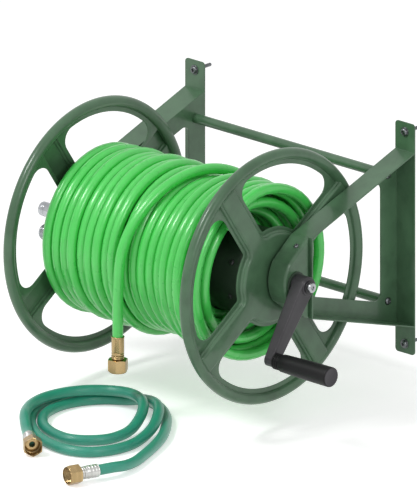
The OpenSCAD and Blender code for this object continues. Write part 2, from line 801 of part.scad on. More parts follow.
// The outer edge of the upper leg for s = 1 or the lower leg for s = -1, as its two ends
function leg_line(s) = [
    [nose_top[0], s * nose_top[1]],
    [axis_stand, s * bracket_h / 2 + axis_drop]
];

// The height of a leg's edge at a distance from the reel's axis, drawn in by a width
function leg_edge(line, at, in) =
    let (slope = (line[1][1] - line[0][1]) / (line[1][0] - line[0][0]))
    line[0][1] + slope * (at - line[0][0]) - in * sqrt(1 + slope * slope);

// The flanges along both legs and the plate behind the housing, as one strip of sheet
module flange_form() {
    upper = leg_line(1);
    lower = leg_line(-1);
    front = housing_back + seat_gap;
    back = front + back_plate_t;
    wall = axis_stand - bracket_sheet / 2;
    proud = -0.1;
    inner = bracket_sheet + proud;
    polygon([
        [front, leg_edge(upper, front, proud)], [wall, leg_edge(upper, wall, proud)],
        [wall, leg_edge(upper, wall, inner)], [back, leg_edge(upper, back, inner)],
        [back, leg_edge(lower, back, -inner)], [wall, leg_edge(lower, wall, -inner)],
        [wall, leg_edge(lower, wall, -proud)], [front, leg_edge(lower, front, -proud)]
    ]);
}

// The two tongues under the housing's slanted faces
module tongue_form() for (s = [-1, 1]) {
    line = [[nose_bend[0], s * nose_bend[1]], [nose_top[0], s * nose_top[1]]];
    outer = s * (bracket_sheet + seat_gap);
    inner = outer + s * bracket_sheet;
    from = nose_bend[0] + 8;
    to = nose_top[0] - 4;
    polygon([
        [from, leg_edge(line, from, outer)], [to, leg_edge(line, to, outer)],
        [to, leg_edge(line, to, inner)], [from, leg_edge(line, from, inner)]
    ]);
}

// A bracket: a pressed web with flanges along both legs, a wall flange with two tabs, a plate
// behind the bearing housing and two tongues under it
module side_frame(side) color(frame_green) on_side(side) difference() {
    union() {
        on_axis() translate([web_x, 0, 0]) along_x() {
            linear_extrude(bracket_sheet) difference() {
                web_form();
                web_opening();
                circle(bush_r + seat_gap);
            }
            linear_extrude(flange_w) flange_form();
            linear_extrude(housing_h - 6) tongue_form();
        }
        wall_flange();
    }
    for (s = [-1, 1]) {
        translate([web_x - cut, -tube_stand, s * tube_span / 2]) along_x()
            cylinder(h = bracket_sheet + 2 * cut, r = tube_screw_r + seat_gap);
        translate([wall_screw_x, cut, s * wall_screw_z]) rotate([90, 0, 0])
            cylinder(h = bracket_sheet + 2 * cut, r = wall_shank_r + seat_gap);
    }
    on_axis() housing_screw_places() cylinder(h = 6 * bracket_sheet, r = housing_screw_r + seat_gap, center = true);
}

tongue_slope = (nose_top[1] - nose_bend[1]) / (nose_top[0] - nose_bend[0]);

// The flange against the wall, with a round-cornered tab beyond each leg
module wall_flange() rotate([90, 0, 0]) linear_extrude(bracket_sheet) {
    half = tab_span / 2;
    out_x = web_x + flange_w;
    polygon(rounded([[web_x, half], [out_x, half], [out_x, -half], [web_x, -half]], tab_corner_r));
}

// The places of a housing's two screws, on its slanted faces with Z pointing outwards
module housing_screw_places() {
    for (s = [0, 1]) mirror([0, 0, s])
        translate([housing_screw_x, housing_screw_at, nose_bend[1] + (housing_screw_at - nose_bend[0]) * tongue_slope])
            rotate([atan(tongue_slope), 0, 0]) children();
}

// The outline of a bearing housing in the plane of the web
module housing_form() {
    polygon(concat(nose_arc, [
        [nose_top[0], -nose_top[1]], [housing_back, leg_edge(leg_line(-1), housing_back, 0)],
        [housing_back, leg_edge(leg_line(1), housing_back, 0)], nose_top
    ]));
}

// A housing's solid form, rounded towards its face in three steps and drawn in by the inset
module housing_block(h, inset) hull() for (k = [0 : 3])
    linear_extrude(h - housing_round * (1 - cos(30 * k)))
        offset(delta = -inset - housing_round * (1 - sin(30 * k))) housing_form();

// A bearing housing: a deep pressed cap over the bracket's nose
module bearing_housing(side) color(frame_green) on_axis() on_side(side) difference() {
    translate([web_x + bracket_sheet + seat_gap, 0, 0]) along_x() difference() {
        housing_block(housing_h - bracket_sheet - seat_gap, 0);
        translate([0, 0, -bracket_sheet]) housing_block(housing_h - bracket_sheet, bracket_sheet);
    }
    ring_x(web_x, face_x + cut, bush_r + seat_gap);
    housing_screw_places() cylinder(h = 6 * bracket_sheet, r = housing_screw_r + seat_gap, center = true);
}

// The screws that hold the bearing housings
module housing_screws() color(dark_steel) on_axis() for (side = [-1, 1]) on_side(side)
    housing_screw_places() {
        translate([0, 0, seat_gap]) cylinder(h = housing_screw_head_h, r = housing_screw_head_r);
        translate([0, 0, -3 * bracket_sheet]) cylinder(h = 3 * bracket_sheet + 1, r = housing_screw_r);
    }

// A flanged bush through the bearing housing and the web
module bush(side) color(nylon) on_axis() on_side(side) {
    ring_x(web_x, face_x + cut, bush_r, axle_r + fit_gap);
    ring_x(face_x + seat_gap, bush_face_x, bush_flange_r, axle_r + fit_gap);
}

// A cross tube between the two brackets, plugged at its ends for its screws
module cross_tube(s) color(frame_green) translate([0, -tube_stand, s * tube_span / 2]) difference() {
    ring_x(-web_x + seat_gap, web_x - seat_gap, tube_d / 2);
    ring_x(-web_x + 14, web_x - 14, tube_d / 2 - tube_wall);
    ring_x(-web_x - cut, web_x + cut, tube_screw_r + seat_gap);
}

// The screws through the brackets into the cross tubes
module cross_tube_screws() color(dark_steel) for (side = [-1, 1], s = [-1, 1])
    translate([0, -tube_stand, s * tube_span / 2]) on_side(side) {
        head_x = web_x + bracket_sheet + seat_gap;
        ring_x(web_x - 12, head_x + 1, tube_screw_r);
        ring_x(head_x, head_x + 2, tube_screw_head_d / 2);
        translate([head_x + 2, 0, 0]) along_x()
            cylinder(h = 1.4, r1 = tube_screw_head_d / 2, r2 = tube_screw_head_d / 2 - 2);
    }

// The wall screws, each with its washer, as far into the wall as they reach
module wall_screws() color(dark_steel) for (side = [-1, 1], s = [-1, 1])
    translate([side * wall_screw_x, -bracket_sheet, s * wall_screw_z]) rotate([90, 0, 0]) {
        translate([0, 0, -wall_screw_grip - bracket_sheet])
            cylinder(h = wall_screw_grip + bracket_sheet + 1, r = wall_screw_d / 2);
        translate([0, 0, -bracket_sheet - 0.4]) cylinder(h = bracket_sheet + 1.2, r = wall_shank_r);
        translate([0, 0, seat_gap]) cylinder(h = 1.2, r = wall_screw_head_d / 2 + 1.5);
        translate([0, 0, 1]) cylinder(h = 2.6, r = wall_screw_head_d / 2);
        translate([0, 0, 3.6]) cylinder(h = 1.4, r1 = wall_screw_head_d / 2, r2 = wall_screw_head_d / 2 - 2.5);
    }

// The water swivel: a barrel on the axle's end and a threaded port beside it
module swivel_body() color(steel) on_axis() difference() {
    port_end = barrel_x + barrel_len - 3;
    union() {
        ring_x(-barrel_x - barrel_len + plug_len, -barrel_x, barrel_r);
        translate([-port_x, 0, -port_drop]) cylinder(h = port_drop, r = barrel_r * 0.8);
        translate([0, 0, -port_drop]) {
            ring_x(-port_end, -port_x + barrel_r * 0.8, port_thread_r - 1.4);
            ring_x(-port_end + port_thread_len, -port_end + port_thread_len + 4, port_thread_r + 2);
            ring_x(-port_end + 1.4, -port_end + port_thread_len, port_thread_r);
            translate([-port_end, 0, 0]) along_x()
                cylinder(h = 1.4, r1 = port_thread_r - 1.4, r2 = port_thread_r);
        }
    }
    ring_x(-barrel_x - barrel_len, -barrel_x + cut, axle_end_r + fit_gap);
    ring_x(-port_x - 5, -port_x + 5, axle_end_r + 1.4);
    translate([-port_x, 0, -port_drop]) cylinder(h = port_drop, r = water_bore_d / 2);
    translate([0, 0, -port_drop]) ring_x(-port_end - cut, -port_x + water_bore_d / 2, port_bore_r);
}

// The plug that closes the swivel's barrel
module swivel_plug() color(steel) on_axis() {
    end_x = barrel_x + barrel_len;
    ring_x(-end_x + 2, -end_x + plug_len - seat_gap, barrel_r);
    translate([-end_x + 2, 0, 0]) rotate([0, -90, 0]) cylinder(h = 2, r1 = barrel_r, r2 = barrel_r - 2.5);
    ring_x(-end_x + plug_len - cut, -end_x + plug_len + 2, axle_end_r - 0.1);
}

// Fittings, drawn along Z from the hose's end: a ferrule over the hose, a stem and a nut
module ferrule(r, length, body_d) difference() {
    union() {
        translate([0, 0, -length]) cylinder(h = length, r = r);
        for (k = [0 : 2]) translate([0, 0, -length + 4 + 6 * k]) cylinder(h = 2.5, r = r + 0.5);
        translate([0, 0, -cut]) cylinder(h = cut + 1.5, r = r);
    }
    translate([0, 0, -length - cut]) cylinder(h = length + cut, r = body_d / 2 + seat_gap);
    translate([0, 0, -cut]) cylinder(h = 5, r = stem_r + seat_gap);
}

// The stem between the ferrule and the nut, with the collar that the nut turns on
module stem() difference() {
    union() {
        translate([0, 0, seat_gap]) cylinder(h = stem_gap + nut_lip_t + 1, r = stem_r);
        translate([0, 0, 1.5 + seat_gap]) cylinder(h = stem_gap - 2, r = nut_collar_r - 1.2);
        translate([0, 0, stem_gap + nut_lip_t + run_gap]) cylinder(h = stem_head_t, r = stem_head_r);
    }
    translate([0, 0, -cut]) cylinder(h = stem_gap + nut_len, r = stem_bore_r);
}

// The nut that turns on the stem
module hose_nut() difference() {
    union() {
        translate([0, 0, stem_gap]) cylinder(h = nut_len - 1.5, r = nut_hex_r, $fn = 6);
        translate([0, 0, stem_gap]) cylinder(h = nut_len, r = nut_flats / 2 - 0.2);
    }
    translate([0, 0, stem_gap - cut]) cylinder(h = nut_lip_t + 2 * cut, r = stem_r + fit_gap);
    translate([0, 0, stem_gap + nut_lip_t]) cylinder(h = nut_len, r = stem_head_r + run_gap);
    translate([0, 0, stem_gap + nut_lip_t + nut_recess]) cylinder(h = nut_len, r = nut_bore_r);
}

// Places children at the tail's lower end, pointing down
module at_tail_end() translate(tail_end) rotate([180, 0, 0]) children();

// Turns and places the loose hose's lay on the ground
module in_lay()
    translate([lay_mid[0], lay_mid[1] - axis_stand, loose_r - ground_drop - axis_drop])
        rotate([0, 0, lay_turn]) children();

// Places children at an end of the loose hose, pointing away from it
module at_loose_end(point, turn) in_lay() translate(point) rotate([0, 90, turn]) children();

module hose_tail() color(hose_green) on_axis() swept(smoothed(tail_route), hose_r, tail_sides, [1, 0, 0]);

module tail_ferrule() color(brass) at_tail_end() ferrule(ferrule_r, ferrule_len, hose_d);

module tail_stem() color(brass) at_tail_end() stem();

module tail_nut() color(brass) at_tail_end() hose_nut();

module loose_hose() color(loose_green) in_lay() swept(smoothed(loose_route), loose_r, 8, [0, 0, 1]);

module loose_ferrule_a() color(steel) at_loose_end(loose_route[0], loose_turn_a)
    ferrule(loose_ferrule_r, loose_ferrule_len, loose_d);

module loose_stem_a() color(brass) at_loose_end(loose_route[0], loose_turn_a) stem();

module loose_nut_a() color(brass) at_loose_end(loose_route[0], loose_turn_a) hose_nut();

module loose_ferrule_b() color(steel) at_loose_end(loose_route[loose_last], loose_turn_b)
    ferrule(loose_ferrule_r, loose_ferrule_len, loose_d);

module loose_stem_b() color(steel) at_loose_end(loose_route[loose_last], loose_turn_b) stem();

module loose_nut_b() color(brass) at_loose_end(loose_route[loose_last], loose_turn_b) hose_nut();

side_frame(1);  // side_frame_right
side_frame(-1);  // side_frame_left
bearing_housing(1);  // bearing_housing_right
bearing_housing(-1);  // bearing_housing_left
bush(1);  // bush_right
bush(-1);  // bush_left
cross_tube(1);  // cross_tube_upper
cross_tube(-1);  // cross_tube_lower
cross_tube_screws();
housing_screws();
wall_screws();
wheel(1);  // wheel_right
wheel(-1);  // wheel_left
drum();
drum_cup(1);  // drum_cup_right
drum_cup(-1);  // drum_cup_left
drum_screws();
axle();
spacer(1);  // spacer_right
spacer(-1);  // spacer_left
axle_clip();
outlet_elbow();
inner_hose();
hose_core();
hose_winding();
crank_arm();
crank_washer();
crank_bolt();
grip_pin();
grip();
grip_end_cap();
swivel_body();
swivel_plug();
swivel_seals();
hose_tail();
tail_ferrule();
tail_stem();
tail_nut();
loose_hose();
loose_ferrule_a();
loose_stem_a();
loose_nut_a();
loose_ferrule_b();
loose_stem_b();
loose_nut_b();
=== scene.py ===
"""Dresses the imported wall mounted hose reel: pressed wheels, brackets, crank, wound hose and a loose hose.

Lengths are in metres in the part's own frame: X along the reel's axis towards the crank, Y towards
the wall and Z up, with the origin between the four wall screws. The sub-assemblies hold their own
sizes in millimetres.
"""

import json
import logging
import math
from collections.abc import Iterable, Iterator, Sequence
from contextlib import contextmanager
from dataclasses import dataclass, field
from enum import Enum, IntEnum

import bmesh
import bpy
import numpy as np
from mathutils import Matrix, Vector

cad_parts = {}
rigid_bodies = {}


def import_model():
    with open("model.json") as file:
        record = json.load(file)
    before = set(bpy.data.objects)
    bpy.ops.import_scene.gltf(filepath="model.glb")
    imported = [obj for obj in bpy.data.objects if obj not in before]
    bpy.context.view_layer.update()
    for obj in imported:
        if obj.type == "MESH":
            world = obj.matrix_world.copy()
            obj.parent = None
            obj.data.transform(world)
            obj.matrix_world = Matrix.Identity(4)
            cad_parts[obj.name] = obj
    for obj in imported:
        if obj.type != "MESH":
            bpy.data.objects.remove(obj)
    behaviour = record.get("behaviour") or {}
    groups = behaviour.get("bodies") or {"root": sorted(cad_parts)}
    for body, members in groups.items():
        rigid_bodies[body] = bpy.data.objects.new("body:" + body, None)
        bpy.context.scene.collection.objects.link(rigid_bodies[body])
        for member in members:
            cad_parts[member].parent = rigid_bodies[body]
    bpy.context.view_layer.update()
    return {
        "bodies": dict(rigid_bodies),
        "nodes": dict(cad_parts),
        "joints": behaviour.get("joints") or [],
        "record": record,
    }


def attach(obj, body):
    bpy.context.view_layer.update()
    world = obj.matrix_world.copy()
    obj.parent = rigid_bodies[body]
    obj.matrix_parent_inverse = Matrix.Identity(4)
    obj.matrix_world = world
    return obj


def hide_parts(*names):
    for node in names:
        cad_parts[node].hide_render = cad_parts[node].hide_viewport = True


log = logging.getLogger("hose_reel")

Pair = tuple[float, float]
Point = tuple[float, float, float]
Colour = tuple[float, float, float]
Piece = bpy.types.Object
Socket = bpy.types.NodeSocket

MM = 0.001
AXIS = Vector((0.0, -0.275, -0.006))
GROUND = -0.256
CORD_STEP = 5 * MM
SEAM = 1e-6
HERE = Matrix.Identity(4)
MIRROR_X = Matrix.Scale(-1, 4, (1, 0, 0))
ALONG_X = Matrix(((0, 0, 1, 0), (1, 0, 0, 0), (0, 1, 0, 0), (0, 0, 0, 1)))
ON_AXIS = Matrix.Translation(AXIS) @ ALONG_X


def srgb(code: str) -> Colour:
    """Turns a colour written as six hex digits into linear values.

    Args:
        code: The colour, such as "5CC864".

    Returns:
        Its red, green and blue between 0 and 1.
    """
    parts = [int(code[i : i + 2], 16) / 255 for i in (0, 2, 4)]
    return tuple(p / 12.92 if p <= 0.04045 else ((p + 0.055) / 1.055) ** 2.4 for p in parts)


def on_reel(x: float, y: float, z: float) -> Vector:
    """Returns the place of a point given in millimetres from the middle of the reel's axis."""
    return AXIS + Vector((x, y, z)) * MM


def round_reel(x: float, radius: float, angle: float) -> Vector:
    """Returns the place at x along the reel's axis and at a radius in millimetres, an angle up from the wall."""
    return on_reel(x, radius * math.cos(angle), radius * math.sin(angle))


def on_circle(radius: float, angles: Iterable[float], middle: Pair = (0.0, 0.0)) -> list[Pair]:
    """Returns the points of a circle in X and Y at some angles in radians."""
    return [(middle[0] + radius * math.cos(t), middle[1] + radius * math.sin(t)) for t in angles]


def full_turn(count: int) -> list[float]:
    """Returns the angles of a number of points evenly round a circle."""
    return [2 * math.pi * k / count for k in range(count)]


def at_height(outline: Iterable[Pair], height: float) -> list[Point]:
    """Returns an outline's points at a height, both given in millimetres."""
    return [(x * MM, y * MM, height * MM) for x, y in outline]


# Materials


@dataclass(frozen=True)
class Level:
    """A socket that carries a number, on which Python's operators add Math nodes."""

    nodes: "Nodes"
    socket: Socket

    def __add__(self, other: "Level | float") -> "Level":
        """Returns this level plus another."""
        return self.nodes.maths("ADD", self, other)

    def __radd__(self, other: float) -> "Level":
        """Returns a number plus this level."""
        return self.nodes.maths("ADD", other, self)

    def __mul__(self, other: "Level | float") -> "Level":
        """Returns this level times another."""
        return self.nodes.maths("MULTIPLY", self, other)

    def __rmul__(self, other: float) -> "Level":
        """Returns a number times this level."""
        return self.nodes.maths("MULTIPLY", other, self)


class Nodes:
    """A node tree whose nodes are added one by one."""

    def __init__(self, tree: bpy.types.NodeTree) -> None:
        """Takes over a tree and empties it."""
        self.tree = tree
        self.tree.nodes.clear()

    def node(self, kind: str, settings: dict | None = None, inputs: dict | None = None) -> bpy.types.Node:
        """Adds a node.

        Args:
            kind: The node's type.
            settings: Its properties, which are set first.
            inputs: The value or link of each socket, by its name or number.

        Returns:
            The new node.
        """
        made = self.tree.nodes.new(kind)
        for key, value in (settings or {}).items():
            setattr(made, key, value)
        for key, value in (inputs or {}).items():
            self.feed(made.inputs[key], value)
        return made

    def feed(self, socket: Socket, value: object) -> None:
        """Links or sets one input socket.

        Args:
            socket: The socket.
            value: A level, another socket, a number or a colour.
        """
        if isinstance(value, Level):
            value = value.socket
        if isinstance(value, Socket):
            self.tree.links.new(value, socket)
        elif isinstance(value, tuple) and len(value) == 3 and len(socket.default_value) == 4:
            socket.default_value = (*value, 1)
        else:
            socket.default_value = value

    def maths(self, operation: str, first: object, second: object = 0.0) -> Level:
        """Adds a Math node.

        Args:
            operation: Its operation.
            first: The first value.
            second: The second value.

        Returns:
            The result.
        """
        made = self.node("ShaderNodeMath", {"operation": operation}, {0: first, 1: second})
        return Level(self, made.outputs[0])

    def noise(self, scale: float, detail: float, stretch: Point = (1, 1, 1), offset: Point = (0, 0, 0)) -> Level:
        """Adds a noise over the piece, in its own coordinates.

        Args:
            scale: How many waves there are to a metre.
            detail: How much finer noise is added.
            stretch: How much the pattern is squeezed along each axis.
            offset: Where the pattern starts.

        Returns:
            The noise, from about 0.3 to 0.7.
        """
        place = self.node("ShaderNodeTexCoord").outputs["Object"]
        placed = self.node("ShaderNodeMapping", inputs={"Vector": place, "Scale": stretch, "Location": offset})
        inputs = {"Vector": placed.outputs[0], "Scale": scale, "Detail": detail, "Roughness": 0.55}
        return Level(self, self.node("ShaderNodeTexNoise", inputs=inputs).outputs["Fac"])

    def blend(self, share: object, first: object, second: object) -> Socket:
        """Mixes two colours.

        Args:
            share: How much of the second colour there is.
            first: The first colour.
            second: The second colour.

        Returns:
            The mixed colour.
        """
        mix = self.node("ShaderNodeMix", {"data_type": "RGBA"})
        for name, value in (("Factor", share), ("A", first), ("B", second)):
            self.feed(mix.inputs[name], value)
        return mix.outputs["Result"]

    def step(self, level: Level, low: float, high: float) -> Level:
        """Adds a smooth step.

        Args:
            level: The level that it reads.
            low: Where it leaves 0.
            high: Where it reaches 1.

        Returns:
            The level between 0 and 1.
        """
        settings = {"interpolation_type": "SMOOTHSTEP"}
        made = self.node("ShaderNodeMapRange", settings, {"Value": level, "From Min": low, "From Max": high})
        return Level(self, made.outputs["Result"])

    def shown(self) -> Level:
        """Tells the rays that show a thing apart from those that only take its light.

        Returns:
            1 for rays from the camera, in a mirror and through glass, and 0 for all others.
        """
        rays = self.node("ShaderNodeLightPath").outputs
        mirrored = self.maths("MAXIMUM", rays["Is Glossy Ray"], rays["Is Transmission Ray"])
        return self.maths("MAXIMUM", rays["Is Camera Ray"], mirrored)


class Shader(Nodes):
    """A material with one Principled node."""

    def __init__(self, name: str) -> None:
        """Makes an empty material with its output and one Principled node.

        Args:
            name: The material's name.
        """
        self.material = bpy.data.materials.new(name)
        self.material.use_nodes = True
        super().__init__(self.material.node_tree)
        self.surface = self.node("ShaderNodeBsdfPrincipled")
        self.node("ShaderNodeOutputMaterial", inputs={"Surface": self.surface.outputs["BSDF"]})

    def finish(self, values: dict[str, object]) -> None:
        """Feeds the Principled node's sockets by their names."""
        for name, value in values.items():
            self.feed(self.surface.inputs[name], value)

    def relief(self, height: Level, depth: float, strength: float, under: Socket | None = None) -> Socket:
        """Adds a relief.

        Args:
            height: The relief between 0 and 1.
            depth: Its depth in metres.
            strength: How strongly it shows.
            under: The normal that it lies on.

        Returns:
            The normal of the surface with its relief.
        """
        bump = self.node("ShaderNodeBump", inputs={"Height": height, "Distance": depth, "Strength": strength})
        if under is not None:
            self.feed(bump.inputs["Normal"], under)
        return bump.outputs["Normal"]

    def rounded_edges(self, radius: float) -> Socket:
        """Returns the normal of a surface whose edges look rounded to a radius."""
        return self.node("ShaderNodeBevel", {"samples": 6}, {"Radius": radius}).outputs["Normal"]


class Side(IntEnum):
    """The two sides of the reel, by the sign of their X: the crank's and the swivel's."""

    RIGHT = 1
    LEFT = -1


class Body(Enum):
    """The record's bodies."""

    FRAME = "wall_frame"
    REEL = "reel"
    GRIP = "crank_grip"
    SWIVEL = "inlet_swivel"
    TAIL_NUT = "hose_end_nut"
    LOOSE_NUT_A = "loose_end_nut_a"
    LOOSE_NUT_B = "loose_end_nut_b"


class Slot(Enum):
    """The record's material slots."""

    FRAME = "frame_paint"
    WHEEL = "wheel_paint"
    DRUM = "drum_paint"
    NYLON = "bush_nylon"
    DARK_SCREW = "dark_screw"
    BLACK_SCREW = "black_screw"
    STEEL = "plain_steel"
    CRANK = "crank_paint"
    GRIP = "grip_black"
    GRIP_CAP = "grip_cap"
    BRASS = "brass"
    CHROME = "swivel_chrome"
    FERRULE = "ferrule_steel"
    SEAL = "seal_rubber"
    HOSE = "hose_green"
    LOOSE_HOSE = "loose_hose_green"


@dataclass(frozen=True)
class Finish:
    """What every finish has: its colour, its shine and the rounding of its edges."""

    colour: str
    shine: float
    edge: float = 0.0

    def build(self, name: str) -> bpy.types.Material:
        """Makes the material of this finish.

        Args:
            name: The material's name.

        Returns:
            The material.
        """
        shader = Shader(name)
        self.paint(shader)
        return shader.material

    def paint(self, shader: Shader) -> None:
        """Connects the nodes of the finish, which each kind of finish does its own way."""
        raise NotImplementedError(f"{type(self).__name__} for {shader.material.name}")


@dataclass(frozen=True)
class Paint(Finish):
    """Sprayed paint on steel: a faint mottle, fine orange peel and a clear gloss."""

    coat: float = 0.12
    coat_shine: float = 0.12
    specular: float = 0.35
    mottle_scale: float = 34.0
    patch_scale: float = 7.0
    peel_scale: float = 900.0
    peel: float = 0.00004
    darkest: float = 0.84
    lightest: float = 1.14

    def paint(self, shader: Shader) -> None:
        """Connects the nodes of the paint.

        Args:
            shader: The material that they are added to.
        """
        base = srgb(self.colour)
        mottle = shader.noise(self.mottle_scale, 4)
        patches = shader.step(mottle * 0.5 + shader.noise(self.patch_scale, 2) * 0.5, 0.36, 0.64)
        darker = tuple(c * self.darkest for c in base)
        lighter = tuple(min(1.0, c * self.lightest + 0.004) for c in base)
        edge = shader.rounded_edges(self.edge)
        shader.finish({
            "Base Color": shader.blend(patches, darker, lighter),
            "Roughness": mottle * 0.12 + (self.shine - 0.06),
            "Specular IOR Level": self.specular,
            "Coat Weight": self.coat,
            "Coat Roughness": self.coat_shine,
            "Normal": shader.relief(shader.noise(self.peel_scale, 2), self.peel, 0.5, edge),
        })


@dataclass(frozen=True)
class Metal(Finish):
    """Bare metal: tool marks, a faint tarnish and a slightly uneven shine; on chrome and plain steel the darker patches
    are also painted dark reflection.
    """

    tarnish_and_dark_reflection: str = "5A5A5C"
    tarnish_and_reflection_most: float = 0.4
    tarnish_and_reflection_scale: float = 46.0
    marks: Point = (1, 1, 1)
    marks_scale: float = 1400.0
    marks_depth: float = 0.00003

    def paint(self, shader: Shader) -> None:
        """Connects the nodes of the metal.

        Args:
            shader: The material that they are added to.
        """
        # The patches mix in a darker grey: real tarnish, and on the chrome and plain steel also painted dark
        # reflection.
        dull_and_reflection_patches = shader.step(shader.noise(self.tarnish_and_reflection_scale, 3, self.marks), 0.4, 0.7)
        fine = shader.noise(self.marks_scale, 2, self.marks)
        edge = shader.rounded_edges(self.edge)
        shader.finish({
            "Base Color": shader.blend(dull_and_reflection_patches * self.tarnish_and_reflection_most, srgb(self.colour), srgb(self.tarnish_and_dark_reflection)),
            "Metallic": 1.0,
            "Roughness": fine * 0.08 + dull_and_reflection_patches * 0.08 + self.shine,
            "Normal": shader.relief(fine, self.marks_depth, 0.35, edge),
        })


@dataclass(frozen=True)
class Moulding(Finish):
    """Moulded plastic or rubber: a fine spark grain and slight flow marks."""

    flow_scale: float = 60.0
    flow_start: Point = (0.3, 0.1, 0.7)
    grain_scale: float = 2600.0
    grain: float = 0.00005
    specular: float = 0.3
    lightest: float = 1.35

    def paint(self, shader: Shader) -> None:
        """Connects the nodes of the moulding.

        Args:
            shader: The material that they are added to.
        """
        base = srgb(self.colour)
        flow = shader.noise(self.flow_scale, 3, offset=self.flow_start)
        lighter = tuple(min(1.0, c * self.lightest + 0.002) for c in base)
        edge = shader.rounded_edges(self.edge)
        shader.finish({
            "Base Color": shader.blend(flow, base, lighter),
            "Roughness": flow * 0.16 + (self.shine - 0.08),
            "Specular IOR Level": self.specular,
            "Normal": shader.relief(shader.noise(self.grain_scale, 2), self.grain, 0.6, edge),
        })


@dataclass(frozen=True)
class HoseSkin(Finish):
    """Extruded hose: fine lengthwise draw lines, scuffs and a soft gloss."""

    deep: str = "1F7A2A"
    deep_most: float = 0.12
    scuff_scale: float = 70.0
    ribs: int = 36
    rib_depth: float = 0.00012
    coat: float = 0.3
    coat_shine: float = 0.14

    def paint(self, shader: Shader) -> None:
        """Connects the nodes of the hose's skin, whose map runs round the hose and along it in metres.

        Args:
            shader: The material that they are added to.
        """
        lay = shader.node("ShaderNodeUVMap", {"uv_map": "hose_lay"}).outputs[0]
        parts = shader.node("ShaderNodeSeparateXYZ", inputs={0: lay}).outputs
        around, along = Level(shader, parts[0]), Level(shader, parts[1])
        rib = shader.maths("SINE", around * (2 * math.pi * self.ribs)) * 0.5 + 0.5
        stretched = shader.node("ShaderNodeCombineXYZ", inputs={0: around * 9.0, 1: along * 5.0}).outputs[0]
        draw = shader.node("ShaderNodeTexNoise", inputs={"Vector": stretched, "Scale": 4.0, "Detail": 3.0})
        scuff = shader.noise(self.scuff_scale, 2)
        tone = shader.step(Level(shader, draw.outputs["Fac"]) * 0.6 + scuff * 0.4, 0.38, 0.66)
        base = srgb(self.colour)
        darker = tuple((1 - self.deep_most) * a + self.deep_most * b for a, b in zip(base, srgb(self.deep)))
        shader.finish({
            "Base Color": shader.blend(tone, darker, base),
            "Roughness": scuff * 0.16 + (self.shine - 0.08),
            "Coat Weight": self.coat,
            "Coat Roughness": self.coat_shine,
            "Normal": shader.relief(rib, self.rib_depth, 0.5),
        })


FINISHES: dict[Slot, Finish] = {
    Slot.FRAME: Paint("45664A", 0.36, 0.0014, coat=0.3),
    Slot.WHEEL: Paint("446549", 0.34, 0.0010, coat=0.3),
    # The drum's near-black green is painted shade: darker than the frame's paint, for the shaded hollow inside the coil
    # where the drum shows.
    Slot.DRUM: Paint("1E2B20", 0.5, 0.0010, coat=0.1),
    Slot.NYLON: Moulding("2C3B2E", 0.5, 0.0008),
    Slot.DARK_SCREW: Metal("6C6F71", 0.26, 0.0005, tarnish_and_dark_reflection="2B2D2F"),
    Slot.BLACK_SCREW: Paint("1C1C1E", 0.35, 0.0006, coat=0.15),
    # Plain steel and chrome: their darker tarnish patches are partly painted dark reflection, greys standing in for
    # dark surroundings that the white studio does not give them to mirror.
    Slot.STEEL: Metal("AEB0B2", 0.2, 0.0005, tarnish_and_dark_reflection="6E7073"),
    Slot.CRANK: Paint("2D2B2F", 0.36, 0.0012),
    Slot.GRIP: Moulding("0B0B0C", 0.48, 0.0008, specular=0.22),
    Slot.GRIP_CAP: Moulding("343236", 0.5, 0.0006),
    Slot.BRASS: Metal("B39A70", 0.2, 0.0005, tarnish_and_dark_reflection="6F5B3A", marks=(1, 1, 0.2)),
    Slot.CHROME: Metal("B4B7BA", 0.1, 0.0008, tarnish_and_dark_reflection="66696C"),
    Slot.FERRULE: Metal("C6C6C3", 0.22, 0.0005, tarnish_and_dark_reflection="85837E"),
    Slot.SEAL: Moulding("141414", 0.6, 0.0003),
    Slot.HOSE: HoseSkin("4BD059", 0.3, deep="167226", coat=0.5),
    Slot.LOOSE_HOSE: HoseSkin("2F967E", 0.34, deep="123F34", ribs=48, rib_depth=0.0002, coat=0.15),
}


class Palette:
    """The finished materials, one for each slot."""

    def __init__(self) -> None:
        """Makes all the materials."""
        self.materials = {slot: finish.build(slot.value) for slot, finish in FINISHES.items()}

    def dress(self, piece: Piece, slot: Slot) -> None:
        """Gives a piece one finish all over.

        Args:
            piece: The piece.
            slot: The slot of the finish.
        """
        piece.data.materials.clear()
        piece.data.materials.append(self.materials[slot])


# Modelling


def activate(piece: Piece) -> None:
    """Selects one object only and makes it the active one.

    Args:
        piece: The object.
    """
    bpy.ops.object.select_all(action="DESELECT")
    piece.select_set(True)
    bpy.context.view_layer.objects.active = piece


@contextmanager
def editing(piece: Piece) -> Iterator[bmesh.types.BMesh]:
    """Opens a piece in edit mode, with nothing selected, and closes it again.

    Args:
        piece: The piece.

    Returns:
        Its mesh, for as long as it is open.
    """
    activate(piece)
    bpy.ops.object.mode_set(mode="EDIT")
    bpy.ops.mesh.select_mode(type="VERT")
    bpy.ops.mesh.select_all(action="DESELECT")
    yield bmesh.from_edit_mesh(piece.data)
    bpy.ops.object.mode_set(mode="OBJECT")


def modify(piece: Piece, kind: str, **settings: object) -> None:
    """Adds a modifier to a piece and applies it.

    Args:
        piece: The piece.
        kind: The modifier's type.
        settings: The modifier's settings.
    """
    made = piece.modifiers.new(kind.title(), kind)
    for key, value in settings.items():
        setattr(made, key, value)
    activate(piece)
    bpy.ops.object.modifier_apply(modifier=made.name)


def smooth(piece: Piece, angle: float) -> None:
    """Shades a piece smooth, apart from edges sharper than an angle in degrees."""
    activate(piece)
    bpy.ops.object.shade_smooth_by_angle(angle=math.radians(angle))


def soften(piece: Piece, width: float, angle: float) -> None:
    """Rounds the edges of a piece that are sharper than an angle in degrees, to a width in millimetres."""
    limit = math.radians(angle)
    modify(piece, "BEVEL", width=width * MM, segments=2, limit_method="ANGLE", angle_limit=limit)


